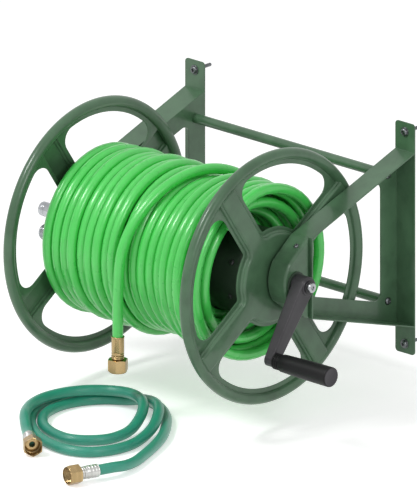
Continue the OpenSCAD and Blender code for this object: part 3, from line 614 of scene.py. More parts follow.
def close_seams(piece: Piece) -> None:
    """Merges the doubled points of a closed piece and turns its faces outwards.

    Args:
        piece: The piece.
    """
    with editing(piece):
        bpy.ops.mesh.select_all(action="SELECT")
        bpy.ops.mesh.remove_doubles(threshold=SEAM)
        bpy.ops.mesh.normals_make_consistent(inside=False)


def settle(piece: Piece, matrix: Matrix) -> None:
    """Moves a piece, with its place then kept in its mesh.

    Args:
        piece: The piece.
        matrix: The move.
    """
    piece.matrix_world = matrix @ piece.matrix_world
    activate(piece)
    bpy.ops.object.transform_apply(location=True, rotation=True, scale=True)


def along(direction: Vector, origin: Vector, turn: float = 0.0) -> Matrix:
    """Returns the matrix that sets Z along a direction from an origin, turned about it in degrees."""
    aim = direction.normalized().to_track_quat("Z", "Y").to_matrix().to_4x4()
    return Matrix.Translation(origin) @ aim @ Matrix.Rotation(math.radians(turn), 4, "Z")


def join(pieces: Sequence[Piece], name: str) -> Piece:
    """Joins several pieces into the first one.

    Args:
        pieces: The pieces.
        name: The name of the whole.

    Returns:
        The joined piece.
    """
    bpy.ops.object.select_all(action="DESELECT")
    for piece in pieces:
        piece.select_set(True)
    bpy.context.view_layer.objects.active = pieces[0]
    if len(pieces) > 1:
        bpy.ops.object.join()
    pieces[0].name = pieces[0].data.name = name
    return pieces[0]


def drawn(name: str, points: Sequence[Vector], faces: Sequence[tuple]) -> Piece:
    """Makes a piece from points and faces.

    Args:
        name: Its name.
        points: The places of its points.
        faces: Lists of point numbers.

    Returns:
        The piece.
    """
    mesh = bpy.data.meshes.new(name)
    mesh.from_pydata([tuple(p) for p in points], [], faces)
    piece = bpy.data.objects.new(name, mesh)
    bpy.context.scene.collection.objects.link(piece)
    return piece


def ring(name: str, points: Sequence[Point]) -> Piece:
    """Makes a closed loop of edges: a circle whose points are moved to their places.

    Args:
        name: Its name.
        points: The places of its points.

    Returns:
        The loop.
    """
    bpy.ops.object.select_all(action="DESELECT")
    bpy.ops.mesh.primitive_circle_add(vertices=len(points), radius=1.0, fill_type="NOTHING")
    piece = bpy.context.object
    piece.name = piece.data.name = name
    for vertex, point in zip(piece.data.vertices, points):
        vertex.co = point
    return piece


def extend(piece: Piece, points: Sequence[Point]) -> None:
    """Extrudes the newest loop of a piece, and moves its points on to new places.

    Args:
        piece: The piece.
        points: As many places as the loop has points, in the same order.
    """
    first = len(piece.data.vertices) - len(points)
    places = {tuple(round(c, 8) for c in v.co): Vector(p) for v, p in zip(piece.data.vertices[first:], points)}
    with editing(piece) as mesh:
        mesh.verts.ensure_lookup_table()
        for vertex in mesh.verts[first:]:
            vertex.select_set(True)
        mesh.select_flush(True)
        bpy.ops.mesh.extrude_edges_move()
        for vertex in [v for v in mesh.verts if v.select]:
            vertex.co = places[tuple(round(c, 8) for c in vertex.co)]
        bmesh.update_edit_mesh(piece.data)


def lathe(name: str, profile: Sequence[Pair], matrix: Matrix = HERE, steps: int = 72) -> Piece:
    """Turns a closed profile about Z, as on a lathe, and sets it in place.

    Args:
        name: The piece's name.
        profile: Points as (height along Z, radius), in millimetres. Its ends may lie on the axis.
        matrix: Where Z of the profile goes.
        steps: The number of steps round.

    Returns:
        The piece.
    """
    piece = ring(name, [(r * MM, 0.0, z * MM) for z, r in profile])
    with editing(piece):
        bpy.ops.mesh.select_all(action="SELECT")
        bpy.ops.mesh.spin(steps=steps, angle=2 * math.pi, center=(0, 0, 0), axis=(0, 0, 1))
        bpy.ops.mesh.select_all(action="SELECT")
        bpy.ops.mesh.remove_doubles(threshold=SEAM)
        bpy.ops.mesh.delete_loose(use_verts=True, use_edges=True, use_faces=False)
        bpy.ops.mesh.select_all(action="SELECT")
        bpy.ops.mesh.normals_make_consistent(inside=False)
    settle(piece, matrix)
    return piece


def tube_profile(z0: float, z1: float, outer: float, inner: float = 0.0) -> list[Pair]:
    """Returns the closed profile of a plain tube, or of a rod, from z0 to z1."""
    return [(z0, inner), (z0, outer), (z1, outer), (z1, inner)]


def turned_part(name: str, profile: Sequence[Pair], matrix: Matrix, round_to: float, steps: int = 72) -> Piece:
    """Turns a profile on the lathe and rounds its sharp edges.

    Args:
        name: The piece's name.
        profile: Points as (height along Z, radius), in millimetres.
        matrix: Where Z of the profile goes.
        round_to: The width of the rounding, in millimetres.
        steps: The number of steps round.

    Returns:
        The piece.
    """
    piece = lathe(name, profile, matrix, steps)
    soften(piece, round_to, 35)
    smooth(piece, 30)
    return piece


def plate(name: str, outline: Sequence[Pair], low: float, high: float) -> Piece:
    """Extrudes a flat outline from one height to another, all in millimetres.

    Args:
        name: The piece's name.
        outline: The outline in X and Y.
        low: The height of its underside.
        high: The height of its upper side.

    Returns:
        The piece.
    """
    bpy.ops.mesh.primitive_circle_add(vertices=len(outline), radius=1.0, fill_type="NGON")
    piece = bpy.context.object
    piece.name = piece.data.name = name
    for vertex, place in zip(piece.data.vertices, at_height(outline, low)):
        vertex.co = place
    with editing(piece):
        bpy.ops.mesh.select_all(action="SELECT")
        bpy.ops.mesh.extrude_region_move(TRANSFORM_OT_translate={"value": (0, 0, (high - low) * MM)})
        bpy.ops.mesh.select_all(action="SELECT")
        bpy.ops.mesh.normals_make_consistent(inside=False)
    return piece


def cut_out(piece: Piece, tool: Piece, operation: str = "DIFFERENCE") -> None:
    """Cuts a tool's form out of a piece, adds it or keeps what they share, and removes the tool."""
    modify(piece, "BOOLEAN", operation=operation, object=tool, solver="EXACT")
    bpy.data.objects.remove(tool)


def eased(route: Sequence[Point]) -> list[Vector]:
    """Draws a smooth curve through a cord's route.

    Args:
        route: The route's points.

    Returns:
        The curve's points.
    """
    points = [Vector(p) for p in route]
    first, last = 2 * points[0] - points[1], 2 * points[-1] - points[-2]
    padded = [first, *points, last]
    curve: list[Vector] = []
    for a, b, c, d in zip(padded, padded[1:], padded[2:], padded[3:]):
        count = max(2, round((c - b).length / CORD_STEP))
        for t in (i / count for i in range(count)):
            bent = (2 * a - 5 * b + 4 * c - d) * t**2 + (3 * b - a - 3 * c + d) * t**3
            curve.append(0.5 * (2 * b + (c - a) * t + bent))
    return [*curve, points[-1]]


def run_length(path: Sequence[Vector]) -> float:
    """Returns the length of a path."""
    return sum((b - a).length for a, b in zip(path, path[1:]))


def sweep(name: str, path: Sequence[Vector], radius: float, sides: int) -> Piece:
    """Sweeps a round tube along a path, with a map of its surface for the finish.

    Args:
        name: The piece's name.
        path: The centre line.
        radius: The tube's radius, in millimetres.
        sides: The number of sides.

    Returns:
        The tube.
    """
    count = len(path)
    tangents = [(path[min(i + 1, count - 1)] - path[max(i - 1, 0)]).normalized() for i in range(count)]
    side = tangents[0].orthogonal().normalized()
    points: list[Vector] = []
    run = [0.0]
    for i, (centre, tangent) in enumerate(zip(path, tangents)):
        side = (side - tangent * side.dot(tangent)).normalized()
        up = tangent.cross(side)
        if i:
            run.append(run[-1] + (centre - path[i - 1]).length)
        points += [centre + radius * MM * (math.cos(t) * side + math.sin(t) * up) for t in full_turn(sides)]
    faces, lays = [], []
    for i in range(count - 1):
        for k in range(sides):
            n = (k + 1) % sides
            faces.append((i * sides + k, i * sides + n, (i + 1) * sides + n, (i + 1) * sides + k))
            u0, u1 = k / sides, (k + 1) / sides
            lays += [(u0, run[i]), (u1, run[i]), (u1, run[i + 1]), (u0, run[i + 1])]
    faces += [tuple(reversed(range(sides))), tuple((count - 1) * sides + k for k in range(sides))]
    lays += [(0.0, 0.0)] * sides + [(0.0, run[-1])] * sides
    piece = drawn(name, points, faces)
    layer = piece.data.uv_layers.new(name="hose_lay")
    layer.data.foreach_set("uv", np.array(lays, np.float32).ravel())
    smooth(piece, 60)
    return piece


# The object's sub-assemblies


@dataclass
class Builder:
    """What all sub-assemblies share: the palette, and the way that a piece is handed over."""

    palette: Palette

    def keep(self, piece: Piece, body: Body, slot: Slot, node: str) -> None:
        """Finishes a piece, and hands it to the frame.

        Args:
            piece: The piece.
            body: The body that it moves with.
            slot: The slot of its finish.
            node: The node that it stands for.
        """
        self.palette.dress(piece, slot)
        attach(piece, body.value)
        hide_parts(node)
        log.info("%s rides on %s for %s", piece.name, body.value, node)


@dataclass
class PressedWheel(Builder):
    """A pressed wheel: a rolled bead, and a sheet whose hub and spokes step up from flat lips."""

    side: Side = Side.RIGHT
    middle: float = 192.0
    bead_middle: float = 200.75
    bead_radius: float = 9.25
    window: float = 184.0
    hub: float = 82.0
    half_spoke: float = 25.5
    rim_corner: float = 22.0
    hub_corner: float = 6.0
    first_spoke: float = 34.0
    sheet: float = 1.5
    edge_round: float = 0.45
    bore: float = 10.1
    lip_end: float = 199.9
    proud_end: float = 199.4
    end_slope: float = 0.6
    step: Sequence[Pair] = (
        (5.6, 0.0), (6.2, 0.15), (6.7, 0.6), (7.0, 1.4), (7.2, 3.0), (7.5, 4.0), (8.0, 4.5), (8.9, 4.7),
        (9.5, 4.95), (9.9, 5.6), (10.2, 6.8), (10.6, 7.9), (11.2, 8.6), (12.1, 8.95), (13.2, 9.0),
    )
    hub_corner_points: int = 9
    rim_corner_points: int = 15
    window_side_points: int = 12
    spoke_side_points: int = 14
    hub_arc_points: int = 10
    window_arc_points: int = 26
    spoke_end_points: int = 8
    bore_points: int = 48
    rim_points: int = 180
    bead_points: int = 32

    def hub_side(self, inset: float) -> list[Pair]:
        """Finds the rounding between a spoke and the hub.

        Args:
            inset: How far it is drawn back into the metal.

        Returns:
            Its points, from the spoke to the hub.
        """
        reach, rise = self.hub + self.hub_corner, self.half_spoke + self.hub_corner
        middle = (math.sqrt(reach**2 - rise**2), rise)
        end = -math.pi + math.atan2(middle[1], middle[0])
        return on_circle(self.hub_corner + inset, np.linspace(-math.pi / 2, end, self.hub_corner_points), middle)

    def window_side(self) -> list[Pair]:
        """Finds a window's edge along the upper side of a spoke that lies along X.

        Returns:
            Its points, from the rim to the hub.
        """
        reach, rise = self.window - self.rim_corner, self.half_spoke + self.rim_corner
        middle = (math.sqrt(reach**2 - rise**2), rise)
        turns = np.linspace(math.atan2(middle[1], middle[0]), -math.pi / 2, self.rim_corner_points)
        hub_round = self.hub_side(0.0)
        run = [(x, self.half_spoke) for x in np.linspace(middle[0], hub_round[0][0], self.window_side_points)[1:-1]]
        return on_circle(self.rim_corner, turns, middle) + run + hub_round

    def spoke_side(self, inset: float, reach: float) -> list[Pair]:
        """Finds the upper edge of a spoke's raised metal.

        Args:
            inset: How far it is drawn back into the metal.
            reach: How far out the spoke goes.

        Returns:
            Its points, straight from the bead to the hub's rounding and along that.
        """
        edge = self.half_spoke - inset
        hub_round = self.hub_side(inset)
        out = math.sqrt(reach**2 - edge**2)
        return [(x, edge) for x in np.linspace(out, hub_round[0][0], self.spoke_side_points)[:-1]] + hub_round

    def quarter(self, k: int, points: Iterable[Pair]) -> list[Pair]:
        """Turns points about the wheel's middle.

        Args:
            k: The number of the spoke that they go to.
            points: The points, as they are at a spoke that lies along X.

        Returns:
            The turned points.
        """
        turn = math.radians(self.first_spoke + 90 * k)
        c, s = math.cos(turn), math.sin(turn)
        return [(x * c - y * s, x * s + y * c) for x, y in points]

    @staticmethod
    def arc(radius: float, start: float, end: float, count: int) -> list[Pair]:
        """Returns the points between the ends of an arc, its angles in degrees."""
        return on_circle(radius, np.radians(np.linspace(start, end, count + 2)[1:-1]))

    @staticmethod
    def end_angles(side: Sequence[Pair]) -> list[float]:
        """Returns the angles, in degrees, of a side's first and last points."""
        return [math.degrees(math.atan2(y, x)) for x, y in (side[0], side[-1])]

    def window_loop(self, k: int) -> list[Pair]:
        """Finds the outline of a window.

        Args:
            k: The number of the spoke before it.

        Returns:
            The outline's points.
        """
        side = self.window_side()
        rim, hub = self.end_angles(side)
        hub_arc = self.arc(self.hub, hub, 90 - hub, self.hub_arc_points)
        rim_arc = self.arc(self.window, 90 - rim, rim, self.window_arc_points)
        return self.quarter(k, side + hub_arc + [(y, x) for x, y in reversed(side)] + rim_arc)

    def proud_loop(self, inset: float, height: float) -> list[Pair]:
        """Finds the outline of the hub and spokes at one height of their step.

        Args:
            inset: How far the metal is drawn back there.
            height: The height.

        Returns:
            The outline's points.
        """
        reach = self.proud_end - self.end_slope * height
        side = self.spoke_side(inset, reach)
        rim, hub = self.end_angles(side)
        end_arc = self.arc(reach, -rim, rim, self.spoke_end_points)
        hub_arc = self.arc(self.hub - inset, hub, 90 - hub, self.hub_arc_points)
        spoke = end_arc + side + hub_arc + [(y, x) for x, y in reversed(side)]
        return [point for k in range(4) for point in self.quarter(k, spoke)]

    def pressed_sheet(self) -> Piece:
        """Makes the pressed sheet.

        Returns:
            The sheet, in the wheel's plane and with its outer face upwards.
        """
        loops = [at_height(self.proud_loop(inset, z), z) for inset, z in self.step]
        wall = ring("pressed_sheet", loops[0])
        for loop in loops[1:]:
            extend(wall, loop)
        windows = [ring("window", at_height(self.window_loop(k), 0.0)) for k in range(4)]
        top = self.step[-1][1]
        bore = ring("bore", at_height(on_circle(self.bore, full_turn(self.bore_points)), top))
        rim = ring("rim", at_height(on_circle(self.lip_end, full_turn(self.rim_points)), 0.0))
        sheet = join([wall, *windows, bore, rim], "pressed_sheet")
        self.fill_level(sheet, 0.0)
        self.fill_level(sheet, top)
        close_seams(sheet)
        return sheet

    @staticmethod
    def fill_level(piece: Piece, height: float) -> None:
        """Fills the flat space between the open loops of a piece at one height.

        Args:
            piece: The piece.
            height: The height, in millimetres.
        """
        with editing(piece) as mesh:
            bpy.ops.mesh.select_mode(type="EDGE")
            for edge in mesh.edges:
                level = all(abs(v.co.z - height * MM) < SEAM for v in edge.verts)
                edge.select_set(level and len(edge.link_faces) < 2)
            bmesh.update_edit_mesh(piece.data)
            bpy.ops.mesh.fill(use_beauty=True)

    def build(self) -> None:
        """Makes the wheel and sets it in its place."""
        name = self.side.name.lower()
        sheet = self.pressed_sheet()
        modify(sheet, "SOLIDIFY", thickness=self.sheet * MM, offset=-1.0)
        soften(sheet, self.edge_round, 50)
        bpy.ops.mesh.primitive_torus_add(
            major_segments=self.rim_points, minor_segments=self.bead_points,
            major_radius=self.bead_middle * MM, minor_radius=self.bead_radius * MM,
        )
        bead = bpy.context.object
        smooth(sheet, 30)
        smooth(bead, 60)
        wheel = join([sheet, bead], f"pressed_wheel_{name}")
        flip = MIRROR_X if self.side is Side.LEFT else HERE
        settle(wheel, Matrix.Translation(AXIS) @ flip @ Matrix.Translation((self.middle * MM, 0, 0)) @ ALONG_X)
        close_seams(wheel)
        self.keep(wheel, Body.REEL, Slot.WHEEL, f"wheel_{name}")


@dataclass
class WoundHose(Builder):
    """The long hose on the reel: its outer layer, the turns of the inner layers and its free tail.

    Angles are in degrees, up from the wall. The tail's points are (x, radius, angle) where it dives,
    (x, angle) where it lies on the coil and (x, depth below the axis) where it hangs.
    """

    radius: float = 8.75
    turns: int = 19
    pitch: float = 18.1
    middle: float = 124.0
    start: float = 80.0
    swell_left: float = 9.0
    swell_right: float = 12.0
    swell_fall: float = 4.0
    fall_run: float = 140.0
    rise_run: float = 30.0
    low_from: float = 4.0
    low_to: float = 62.0
    lump: float = 3.0
    calm_lump: float = 0.3
    swell_lump: float = 0.4
    lump_turn: float = 137.0
    lump_start: float = 20.0
    lean: float = 4.0
    lean_start: float = 40.0
    overrun_turns: float = 0.12
    dive_turns: float = 0.09
    dive: float = 24.0
    dive_in: float = 10.0
    outer_sides: int = 20
    outer_points: int = 48
    layer_starts: Sequence[float] = (120.0, 246.0, 300.0)
    layer_reach: Sequence[float] = (105.25, 133.25, 161.25)
    layer_radii: dict[Side, Sequence[float]] = field(
        default_factory=lambda: {Side.RIGHT: (82.3, 97.4, 112.4), Side.LEFT: (82.3, 94.2, 106.0)}
    )
    layer_turns: int = 4
    layer_pitch: float = 17.7
    layer_sway: float = 1.0
    layer_lump: float = 0.6
    layer_dive: float = 13.0
    layer_sides: int = 16
    layer_points: int = 40
    core_half: float = 84.0
    core: Pair = (105.5, 73.2)
    core_sides: int = 64
    tail_radius: float = 142.45
    tail_push: float = 4.55
    push_from: float = 100.0
    push_run: float = 80.0
    tail_dive: Sequence[Point] = ((60, 118, 17), (59.5, 135, 29))
    tail_lay: Sequence[Pair] = (
        (58, 40), (56, 50), (52, 60), (47, 70), (42, 80), (37, 90), (32, 100), (27, 110),
        (22, 120), (17, 130), (12, 140), (7, 150), (3, 160), (0, 170), (-2, 180),
    )
    tail_drop: Sequence[Pair] = ((-4, 27), (-5, 55), (-5, 84), (-5, 112), (-5, 140))
    tail_sides: int = 24

    @staticmethod
    def rise(t: float) -> float:
        """Returns a smooth rise from 0 to 1 while t goes from 0 to 1."""
        s = max(0.0, min(1.0, t))
        return s * s * (3 - 2 * s)

    def under(self, run: float) -> float:
        """Returns how far an end has dived under its layer, from 1 to 0, at some turns from where it dives."""
        return max(0.0, 1 - run / self.dive_turns) ** 2

    def swell(self, x: float) -> float:
        """Finds how the coil swells beside the place where the tail crosses it.

        Args:
            x: The place along the axis.

        Returns:
            How much higher the coil lies there.
        """
        fall = max(0.0, min(1.0, (self.low_from - self.rise_run - x) / self.fall_run))
        left = self.swell_left * self.rise((self.low_from - x) / self.rise_run)
        return left - self.swell_fall * fall + self.swell_right * self.rise((x - self.low_to) / self.rise_run)

    def turn_point(self, u: float) -> Vector:
        """Finds the middle of the hose in the outer layer, whose two ends dive under it.

        Args:
            u: How many turns the place lies from the layer's start.

        Returns:
            The place.
        """
        at, first = math.radians(360 * u + self.start), math.radians(self.start + self.lean_start)
        lean = self.lean * (math.sin(at + math.radians(self.lean_start)) - math.sin(first))
        x = self.pitch * (u - self.turns / 2) + lean
        lump = min(self.lump, self.calm_lump + self.swell(x) * self.swell_lump)
        lump *= math.sin(math.radians(self.lump_turn * u + self.lump_start))
        under = self.under(min(u, self.turns - u) + self.overrun_turns)
        radius = self.middle + self.swell(x) + lump - self.dive * under
        return round_reel(x - math.copysign(self.dive_in, x) * under, radius, at)

    def outer_layer(self) -> None:
        """Makes the outer layer as one winding tube."""
        count = round((self.turns + 2 * self.overrun_turns) * self.outer_points)
        path = [self.turn_point(i / self.outer_points - self.overrun_turns) for i in range(count + 1)]
        layer = sweep("wound_hose_outer_layer", path, self.radius, self.outer_sides)
        self.keep(layer, Body.REEL, Slot.HOSE, "hose_winding")

    def inner_layer(self, side: Side, n: int) -> Piece:
        """Winds the turns of one inner layer that show at one end.

        Args:
            side: The end.
            n: The layer's number from the inside.

        Returns:
            The turns, as one tube.
        """
        path = []
        for t in (i / self.layer_points for i in range(self.layer_turns * self.layer_points + 1)):
            at = side * 2 * math.pi * t + math.radians(self.layer_starts[n])
            sway = self.layer_sway * math.sin(at * 2 + n) - self.dive_in * self.under(t)
            lump = self.layer_lump * math.sin(at * 3 + n) - self.layer_dive * self.under(t)
            x = side * (self.layer_reach[n] - self.layer_pitch * t + sway)
            path.append(round_reel(x, self.layer_radii[side][n] + lump, at))
        return sweep("layer", path, self.radius, self.layer_sides)

    def inner_layers(self) -> None:
        """Makes the turns of the inner layers that show at both ends, over a plain core."""
        layers = [self.inner_layer(side, n) for side in Side for n in range(len(self.layer_reach))]
        profile = tube_profile(-self.core_half, self.core_half, *self.core)
        core = lathe("core", profile, along(Vector((1, 0, 0)), AXIS), self.core_sides)
        core.data.uv_layers.new(name="hose_lay")
        self.keep(join([*layers, core], "wound_hose_inner_layers"), Body.REEL, Slot.HOSE, "hose_core")

    def tail_route(self) -> list[Vector]:
        """Plans the tail's way.

        Returns:
            Its points, from inside the coil over its top and down in front.
        """
        points = [round_reel(x, radius, math.radians(degrees)) for x, radius, degrees in self.tail_dive]
        for x, degrees in self.tail_lay:
            push = self.tail_push * self.rise((degrees - self.push_from) / self.push_run)
            points.append(round_reel(x, self.tail_radius + push, math.radians(degrees)))
        return points + [on_reel(x, -self.tail_radius - self.tail_push, -down) for x, down in self.tail_drop]

    def tail(self, fittings: Sequence[Piece]) -> None:
        """Makes the tail that comes over the top of the coil and hangs down in front.

        Args:
            fittings: The pieces on its end; not used.
        """
        path = eased(self.tail_route())
        length = run_length(path)
        tail = sweep("hose_tail_run", path, self.radius, self.tail_sides)
        self.keep(tail, Body.FRAME, Slot.HOSE, "hose_tail")


@dataclass
class LooseHose(Builder):
    """The short hose that lies in loops on the ground, with a nut at each end."""

    radius: float = 8.75
    sides: int = 18
    middle: Pair = (-10.0, -477.0)
    turn: float = 43.0
    route: Sequence[Point] = (
        (-97, -126, 8), (-100, -101, 8), (-103, -76, 8), (-106, -50, 13), (-107, -22, 18),
        (-104, 6, 18), (-95, 36, 18), (-76, 66, 18), (-46, 90, 18), (-10, 103, 18),
        (28, 102, 18), (58, 84, 20), (76, 52, 22), (82, 14, 22), (76, -24, 14),
        (60, -58, 4), (32, -84, 0), (-2, -95, 0), (-36, -88, 0), (-60, -62, 0),
        (-75, -28, 0), (-79, 8, 0), (-72, 46, 0), (-50, 80, 0), (-18, 103, 0),
        (20, 112, 0), (56, 102, 2), (84, 74, 12), (102, 36, 18), (106, -6, 18),
        (96, -56, 8), (72, -104, 1), (40, -138, 0), (0, -154, 0), (-36, -144, 0),
        (-64, -116, 0), (-84, -78, 0), (-94, -38, 0), (-98, 4, 0), (-92, 48, 0),
        (-74, 90, 0), (-42, 120, 0), (0, 133, 0), (44, 130, 0), (84, 108, 0),
        (108, 70, 0), (118, 24, 0), (118, -24, 0), (112, -76, 0), (99, -124, 0),
        (83, -168, 0), (70, -202, 1), (54, -232, 4), (34, -254, 8), (10, -268, 8), (-14, -282, 8),
    )

    def lay(self) -> Matrix:
        """Returns the matrix that lays the loops on the ground."""
        place = Vector((self.middle[0] * MM, self.middle[1] * MM, GROUND + self.radius * MM))
        return Matrix.Translation(place) @ Matrix.Rotation(math.radians(self.turn), 4, "Z")

    def end(self, tip: int, before: int) -> Matrix:
        """Finds where the fitting of an end goes.

        Args:
            tip: The number of the route's point at the end.
            before: The number of the point before it.

        Returns:
            The matrix that sets Z along the hose's way out.
        """
        place = Vector(self.route[tip])
        way = place - Vector(self.route[before])
        out = Matrix.Rotation(math.atan2(way.y, way.x), 4, "Z") @ Matrix.Rotation(math.pi / 2, 4, "Y")
        return self.lay() @ Matrix.Translation(place * MM) @ out

    def build(self, fittings: Sequence[Piece]) -> None:
        """Makes the hose.

        Args:
            fittings: The pieces on its two ends; not used.
        """
        path = eased([self.lay() @ (Vector(point) * MM) for point in self.route])
        length = run_length(path)
        hose = sweep("loose_hose_run", path, self.radius, self.sides)
        self.keep(hose, Body.FRAME, Slot.LOOSE_HOSE, "loose_hose")


@dataclass
class Fitting(Builder):
    """A hose fitting, drawn along Z from the hose's end: a ribbed ferrule, a stem and a hexagon nut."""

    tail_ferrule: tuple[float, float, int] = (10.3, 30.0, 0)
    loose_ferrule: tuple[float, float, int] = (10.5, 26.0, 3)
    ferrule_bore: float = 8.85
    ferrule_throat: float = 7.1
    first_rib: float = 4.0
    rib_pitch: float = 6.0
    gap: float = 8.0
    stem: float = 7.0
    bore: float = 4.8
    collar: float = 10.4
    head: float = 12.2
    flats: float = 29.0
    nut_end: float = 30.0
    lip: float = 2.5
    thread: float = 13.4
    thread_depth: float = 0.45
    pitch: float = 1.8

    def ferrule(self, name: str, radius: float, length: float, ribs: int, place: Matrix) -> Piece:
        """Makes a pressed ferrule with ribs and a rolled mouth.

        Args:
            name: The piece's name.
            radius: Its radius between the ribs.
            length: How much of the hose it covers.
            ribs: The number of its ribs.
            place: Where it goes.

        Returns:
            The piece.
        """
        mouth, bore, throat = -length, self.ferrule_bore, self.ferrule_throat
        profile = [
            (mouth, bore), (mouth, radius - 0.1), (mouth + 0.5, radius + 0.4), (mouth + 1.8, radius + 0.4),
            (mouth + 2.3, radius),
        ]
        for k in range(ribs):
            z = mouth + self.first_rib + self.rib_pitch * k
            profile += [(z - 0.5, radius), (z, radius + 0.5), (z + 2.5, radius + 0.5), (z + 3.0, radius)]
        profile += [
            (-4.2, radius), (-3.6, radius - 0.5), (-2.6, radius - 0.5), (-2.0, radius), (0.8, radius),
            (1.5, radius - 0.7), (1.5, throat), (0.05, throat), (0.05, bore),
        ]
        return turned_part(name, profile, place, 0.25)

    def stem_part(self, name: str, place: Matrix) -> Piece:
        """Makes the stem with its collar and the head that holds the nut.

        Args:
            name: The piece's name.
            place: Where it goes.

        Returns:
            The piece.
        """
        top = self.gap + self.lip + 0.4
        profile = [
            (0.1, self.bore), (0.1, self.stem), (1.6, self.stem), (1.6, self.collar - 0.9), (2.3, self.collar),
            (4.0, self.collar), (4.4, self.collar - 0.5), (5.0, self.collar - 0.5), (5.4, self.collar),
            (6.9, self.collar), (7.6, self.collar - 0.9), (7.6, self.stem), (top, self.stem), (top, self.head),
            (top + 2, self.head), (top + 2, self.bore),
        ]
        return turned_part(name, profile, place, 0.2)

    def thread_profile(self) -> list[Pair]:
        """Draws the nut's inner form.

        Returns:
            The profile of the lip's hole, the room for the head and the thread's grooves.
        """
        z0, end, hole, room = self.gap, self.nut_end, self.stem + 0.1, self.head + 0.4
        z = z0 + self.lip
        profile = [(z0 - 1, 0.0), (z0 - 1, hole), (z, hole), (z, room), (z + 3, room)]
        z += 3
        while z + self.pitch < end - 0.8:
            profile += [(z + 0.3, self.thread), (z + self.pitch / 2, self.thread + self.thread_depth)]
            z += self.pitch
        mouth = self.thread + 0.5
        return profile + [(end - 0.9, self.thread), (end, mouth), (end + 1, mouth), (end + 1, 0.0)]

    def nut(self, name: str, place: Matrix) -> Piece:
        """Makes the nut: a hexagon with turned chamfers, a round face and a thread.

        Args:
            name: The piece's name.
            place: Where it goes.

        Returns:
            The piece.
        """
        z0, end = self.gap, self.nut_end
        corner, face = self.flats / 2 / math.cos(math.radians(30)), self.flats / 2 - 0.2
        nut = plate(name, on_circle(corner, full_turn(6)), z0, end)
        rounds = [
            (z0 - 1, 0), (z0 - 1, face - 1), (z0, face - 0.3), (z0 + 1.3, corner + 0.05),
            (end - 2.9, corner + 0.05), (end - 1.6, face), (end - 0.5, face), (end, face - 0.5), (end + 1, face - 1),
            (end + 1, 0),
        ]
        cut_out(nut, lathe("rounds", rounds), "INTERSECT")
        cut_out(nut, lathe("thread", self.thread_profile()))
        settle(nut, place)
        smooth(nut, 25)
        return nut

    def build(
        self, where: str, nut_body: Body, place: Matrix, sizes: tuple[float, float, int], slots: Sequence[Slot]
    ) -> list[Piece]:
        """Makes the whole fitting.

        Args:
            where: The end's name: tail, loose_a or loose_b.
            nut_body: The body of its nut.
            place: Where it goes.
            sizes: The ferrule's radius, length and number of ribs.
            slots: The slots of the ferrule, stem and nut.

        Returns:
            The fitting's three pieces.
        """
        start, _, end = where.partition("_")
        nodes = [f"{start}_{piece}{'_' + end if end else ''}" for piece in ("ferrule", "stem", "nut")]
        pieces = [
            self.ferrule(f"ribbed_ferrule_{where}", *sizes, place),
            self.stem_part(f"collared_stem_{where}", place),
            self.nut(f"hexagon_nut_{where}", place),
        ]
        for piece, body, slot, node in zip(pieces, (Body.FRAME, Body.FRAME, nut_body), slots, nodes):
            self.keep(piece, body, slot, node)
        return pieces


